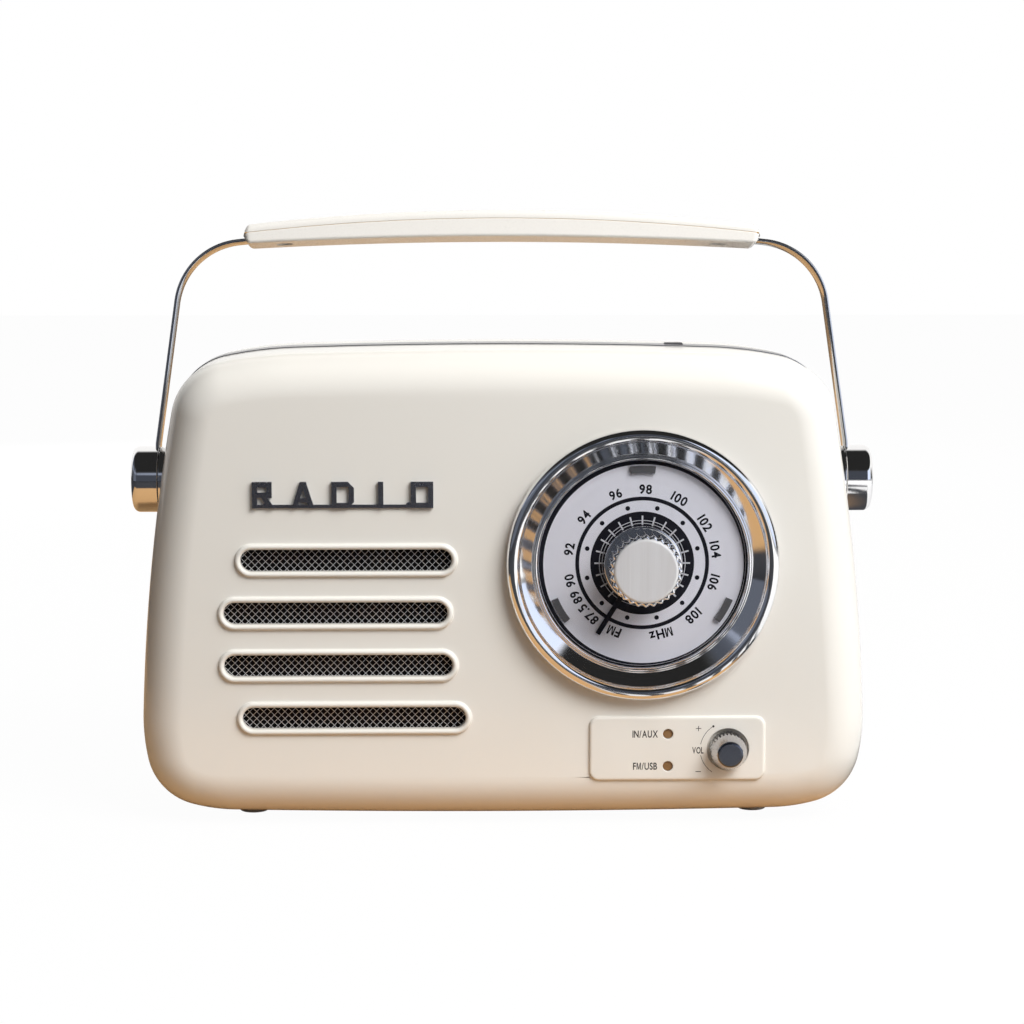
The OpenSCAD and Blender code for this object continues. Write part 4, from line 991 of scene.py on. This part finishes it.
def handle_strap(side, way):
    """A flat bar carried along the strap's line, with cross ribs on its outer face.

    The line's direction a(l) is a chain of straight parts and even bends, and its
    place is the running sum of (-sin a, cos a). Between its smooth borders the outer
    face dips by 0.34 (0.5 - 0.5 cos(2 pi l / 0.77))."""
    bends = np.cumsum([0, 12, 20 * math.radians(7.4), 53.6, 26.35 * math.radians(76.6), 22])
    turns = np.radians([0, 0, 7.4, 7.4, 84, 84])
    pitch = 0.77
    along = np.linspace(0, bends[-1], int(bends[-1] / pitch * 8))
    a = np.interp(along, bends, turns)
    step = np.diff(along)[:, None]
    heading = np.stack([-np.sin(a), np.cos(a)], -1)
    line = np.vstack([[0, 0], np.cumsum((heading[1:] + heading[:-1]) / 2 * step, 0)]) + [STRAP_X, 0]
    half, thick, rib = STRAP_W / 2, STRAP_T / 2, 3.6
    w = np.array([-half, -half + 0.08, -half + 0.3, -3.75, -rib, -3.45, -1.2, 1.2, 3.45, rib, 3.75,
                  half - 0.3, half - 0.08, half, half, half - 0.08, half - 0.3, 0, -half + 0.3,
                  -half + 0.08, -half])
    d = np.array([thick - 0.3, thick - 0.08] + [thick] * 10 + [thick - 0.08, thick - 0.3]
                 + [-thick + 0.3, -thick + 0.08, -thick, -thick, -thick, -thick + 0.08, -thick + 0.3])
    outer_face = d > thick - 0.01
    ribbed = np.where(outer_face & (np.abs(w) < rib - 0.1), 1.0, 0.0)
    ribbed = np.where(outer_face & (np.abs(np.abs(w) - rib) < 0.01), 0.5, ribbed)
    inside_cap = np.clip((along - 13.0) / 0.5, 0, 1)
    wave = 0.34 * (0.5 - 0.5 * np.cos(2 * np.pi * along / pitch)) * inside_cap
    depth = d[None, :] - ribbed[None, :] * wave[:, None]
    out = np.stack([np.cos(a), np.sin(a)], -1)
    across = line[:, None, :] + out[:, None, :] * depth[..., None]
    points = np.stack([way * across[..., 0], w[None, :] * np.ones_like(depth), across[..., 1]], -1)
    s = Surface().bar(leaned(points))
    eye_r, eye_x = 10.77, (130.5, 131.8)
    eye = eased([(BORE_R, eye_x[0], 0), (eye_r, eye_x[0], 0.2),
                 (eye_r, eye_x[1], 0.2), (BORE_R, eye_x[1], 0)])
    s.join(lathe(eye * [1, way], PIVOT, "x", 64, True))
    solid("handle_strap_" + side, s, "handle", NICKEL, "strap_steel", sharp=50)


def pivot_parts(side, way):
    """The cap, a shallow dome with a wide quarter-round edge, and the boss it turns against."""
    cap_r, edge, top = 12.5, 2.4, 140.45
    a = np.linspace(0, np.pi / 2, 14)
    rim = np.stack([cap_r - edge + edge * np.cos(a), top - edge + edge * np.sin(a)], -1)
    t = np.linspace(0, 1, 10)[1:]
    face = np.stack([(cap_r - edge) * (1 - t), top + 0.55 * (1 - (1 - t) ** 2)], -1)
    hollow_r, hollow_x, x0 = 10.8, 137.6, 130.5
    skirt = [[0, hollow_x], [hollow_r, hollow_x], [hollow_r, x0 + 0.1], [hollow_r + 0.1, x0],
             [cap_r - 0.2, x0], [cap_r, x0 + 0.2]]
    cap = lathe(np.vstack([skirt, rim, face]) * [1, way], PIVOT, "x", 128)
    solid("pivot_cap_" + side, cap, "handle", CHROME, "chrome")
    flange_r, boss_r, flange_x0, flange_x1, boss_x = 13.2, 12.3, 119, 120.4, 130.3
    boss = eased([(BORE_R, flange_x0, 0), (flange_r, flange_x0, 0.1), (flange_r, flange_x1, 0.1),
                  (boss_r, flange_x1, 0), (boss_r, boss_x, 0.3), (BORE_R, boss_x, 0)])
    boss = lathe(boss * [1, way], PIVOT, "x", 96, True)
    solid("pivot_boss_" + side, boss, "cabinet", CHROME, "chrome")


# ---------------- back and underside
def feet():
    """Four turned feet with an eased tread and a peg up into the shell."""
    s = Surface()
    foot_h, peg_r, peg_z = 3.4, 2.55, 8
    profile = eased([(0, 0, 0), (5.4, 0, 0.6), (6.0, foot_h, 0.4), (peg_r, foot_h, 0.05),
                     (peg_r, peg_z, 0.3), (0, peg_z, 0)])
    for x in (-95, 95):
        for y in (31, 72):
            s.join(lathe(profile, (x, y, 0), "z", 48))
    solid("rubber_feet", s, "cabinet", PALE_RUBBER, "rubber")


def aerial():
    """Three turned tubes that slide in each other, with eased mouths and a round tip, and
    the socket that holds them."""
    low, high = box_mm("aerial_outer_tube")
    at = (0, middle("aerial_outer_tube")[1] - FACE_Y, middle("aerial_outer_tube")[2])
    x0, x1 = low[0] + 2.8, high[0]
    neck_r, outer_r, mouth_r, inner_r = 2.4, 3.0, 2.85, 2.55
    outer = eased([(0, x0 + 1.6, 0), (neck_r, x0 + 1.6, 0.1), (neck_r, x0 + 7, 0.4),
                   (outer_r, x0 + 8.2, 0.4), (outer_r, x1 - 2.2, 0.1), (mouth_r, x1 - 2.0, 0.1),
                   (mouth_r, x1, 0.15), (inner_r, x1, 0.1), (inner_r, x0 + 9, 0), (0, x0 + 9, 0)])
    s = lathe(outer, at, "x", 64)
    eye_r, pin_r, half = 2.8, 1.45, 2.5
    eye = eased([(pin_r, -half, 0), (eye_r, -half, 0.3), (eye_r, half, 0.3), (pin_r, half, 0)])
    s.join(lathe(eye, (x0, at[1], at[2]), "z", 48, True))
    mid = eased([(0, x0 + 9.5, 0), (2.5, x0 + 9.5, 0.1), (2.5, x1 + 1, 0.2), (2.05, x1 + 1, 0.05),
                 (2.05, x0 + 11, 0), (0, x0 + 11, 0)])
    rod_r, ball_r = 2, 2.8
    tip = eased([(0, x0 + 11.5, 0), (rod_r, x0 + 11.5, 0.2), (rod_r, x1 + 1.5, 0.05),
                 (ball_r, x1 + 1.5, 0.4), (ball_r, x1 + 5.6, 1.3), (0, x1 + 5.6, 0)], 8)
    for name, tube, body in (("aerial_outer_tube", s, "aerial_rod"),
                             ("aerial_middle_tube", lathe(mid, at, "x", 64), "aerial_middle"),
                             ("aerial_tip", lathe(tip, at, "x", 64), "aerial_end")):
        solid(name, tube, body, AERIAL, "aerial_chrome")
    seat = middle("aerial_socket")
    flange_r, seat_r, y0, y1, y2 = 8.6, 7.5, 85.5, 87.8, 92.8
    socket = eased([(BORE_R, y0, 0), (flange_r, y0, 0.1), (flange_r, y1, 0.1), (seat_r, y1, 0.05),
                    (seat_r, y2, 0.5), (BORE_R, y2, 0)])
    socket = lathe(socket, (seat[0], 0, seat[2]), "y", 96, True)
    solid("aerial_socket", socket, "cabinet", BLACK, "black_plastic")


front_shell()
rear_shell()
trim_band()
speaker_mesh()
dial_bezel()
dial_lens()
dial_plate()
dial_print()
tuning_knob()
volume_knob()
lamps()
panel_print()
grip()
for side, way in (("left", -1), ("right", 1)):
    handle_strap(side, way)
    pivot_parts(side, way)
feet()
aerial()
for node, body, paint, slot, width in (
        ("front_badge", "cabinet", SMOKED, "dark_chrome", 0.25),
        ("battery_door", "door", CREAM, "cream_shell", 0.25),
        ("mode_button", "mode_key", GREY, "button_grey", 0.2),
        ("aerial_rests", "cabinet", BLACK, "black_plastic", 0.3),
        ("aerial_swivel", "aerial_turret", AERIAL, "aerial_chrome", 0.2),
        ("usb_socket", "cabinet", STEEL, "socket_steel", 0.12),
        ("dial_pointer", "tuning", INK_AND_SHADE, "pointer_black", 0.12)):
    softened(node, body, paint, slot, width)

# nodes shown as they are, painted by their slot
SLOT_PAINT = {
    "screw_steel": STEEL, "speaker_cloth": CLOTH, "foam": FOAM, "painted_steel": BLACK,
    "surround_rubber": RUBBER, "cone_paper": PAPER, "ferrite": FERRITE, "black_plastic": BLACK,
    "control_steel": CAN, "shaft_brass": BRASS, "board_green": BOARD, "spring_steel": STEEL,
}
for part in frame["record"]["subparts"]:
    node = frame["nodes"][part["node"]]
    if part["material_slot"] in SLOT_PAINT:
        node.data.materials.clear()
        node.data.materials.append(SLOT_PAINT[part["material_slot"]])


# ---------------- studio
def floor():
    """A wide floor, white to the camera. Mirrors see a dark one with warm wood close to the
    radio and pale sheets on its right; what it throws up onto the radio is dimmer still."""
    mesh = bpy.data.meshes.new("studio_floor")
    size = 4.0
    corners = [(-size, -size, 0), (size, -size, 0), (size, size, 0), (-size, size, 0)]
    mesh.from_pydata(corners, [], [(0, 1, 2, 3)])
    p = Paint("studio_floor")
    seen = p.add("ShaderNodeLightPath")
    x, y = p.axes(p.where(), 2)
    ahead, left = 0 - y, 0 - x
    near_edge, far_edge, wood_right, wood_left, sheet_edge, solid_edge = 0.105, 0.26, 0.14, 0.42, 0.03, 0.19
    near = 1 - ahead.above(near_edge, 0.01)
    further = (1 - near) * (1 - ahead.above(far_edge, 0.03))
    wood = near * (1 - x.above(wood_right, 0.02)) + further * (1 - x.above(sheet_edge, 0.01))
    wood = wood * (1 - left.above(wood_left, 0.03))
    stripes = (x * 260.0).maths("SINE").above(-0.35, 0.1)
    striped = further * x.above(sheet_edge, 0.01) * (1 - x.above(solid_edge, 0.01)) * stripes
    sheets = striped.maths("MAXIMUM", x.above(solid_edge, 0.01))
    tone = p.mix(wood, colour(0.04, 0.042, 0.048), colour(0.64, 0.38, 0.17))
    tone = p.mix(sheets, tone, colour(0.82, 0.82, 0.82))
    mirrored = p.add("ShaderNodeLightPath", output=3)
    dimmed, dimmed_far = 0.22, 0.55
    tone = p.mix((1 - mirrored) * ((1 - near) * dimmed_far + dimmed), tone, colour(0, 0, 0))
    table = p.shader(Base_Color=tone, Roughness=0.8)
    sheet = p.add("ShaderNodeBsdfDiffuse", {}, {"Color": colour(0.9, 0.9, 0.9)})
    glow = p.add("ShaderNodeEmission", {}, {"Color": colour(1, 1, 1), "Strength": 1.0})
    white = p.blend(0.97, sheet, glow)
    mesh.materials.append(p.close(p.blend(seen, table, white)))
    stage = linked("studio_floor", mesh)


def lamp(name, place, size, power, tone=(1, 1, 1)):
    """A soft rectangular lamp aimed at the middle of the radio, which mirrors don't see."""
    light = bpy.data.lights.new(name, "AREA")
    light.shape, light.size, light.size_y = "RECTANGLE", size[0], size[1]
    light.energy, light.color = power, tone
    holder = linked(name, light)
    holder.location = place
    holder.rotation_euler = (Vector(RADIO_MIDDLE) - Vector(place)).to_track_quat("-Z", "Y").to_euler()
    holder.visible_glossy = False


def studio_air():
    """White behind the radio. Mirrors see a dim room with a cool window on the left, a
    wide white panel on the right and bright air behind; other light comes from a soft
    sky that is brighter on the right."""
    world = bpy.data.worlds.new("studio_air")
    world.use_nodes = True
    p = Paint("air", world.node_tree)
    spot = p.add("ShaderNodeTexCoord")
    x, y, z = p.axes(spot, 3)
    left, ahead = 0 - x, 0 - y

    def band(value, low, high, soft=0.03):
        return value.above(low, soft) * (1 - value.above(high, soft))

    front = ahead.above(0.35, 0.1) * band(z, -0.35, 0.5, 0.06)
    behind = y.above(0.5, 0.12)
    panel = band(x, 0.27, 0.95) * band(z, -0.35, 0.5) * (1 - behind)
    window = band(left, 0.35, 0.97, 0.05) * band(z, -0.3, 0.62, 0.05) * (1 - behind)
    blind = (x * 46.0).maths("SINE").above(0.15, 0.25)
    panes = blind * band(z, 0.34, 0.46) * left.above(0.0, 0.05) * (1 - behind)
    level = 0.02 + 0.06 * front + 1.0 * behind + 1.1 * panel + 0.09 * window + 0.3 * panes
    cool = front.maths("MAXIMUM", window)
    tone = p.mix(cool, colour(1.0, 0.99, 0.97), colour(0.72, 0.80, 1.0))
    mirrored = p.add("ShaderNodeBackground", {}, {"Color": tone, "Strength": level})
    sky = p.add("ShaderNodeBackground", {}, {
        "Color": colour(1.0, 1.0, 1.0), "Strength": 0.24 + 0.2 * z + 0.3 * x - 0.04 * y})
    plain = p.add("ShaderNodeBackground", {}, {"Color": colour(1, 1, 1), "Strength": 1.0})
    glossy = p.add("ShaderNodeLightPath", output=3)
    seen = p.add("ShaderNodeLightPath")
    lit = p.blend(glossy, sky, mirrored)
    p.add("ShaderNodeOutputWorld", {}, {"Surface": p.blend(seen, lit, plain)})
    bpy.context.scene.world = world


floor()
studio_air()
lamp("soft_front", (0.8, -0.95, 1.2), (1.0, 0.9), 30.0, (1.0, 0.995, 0.99))
lamp("right_box", (1.25, -0.4, 0.4), (0.4, 0.9), 1.6)
lamp("soft_back", (-0.35, 1.35, 0.5), (1.0, 0.9), 6.0)
bpy.context.scene.view_settings.view_transform = "Standard"
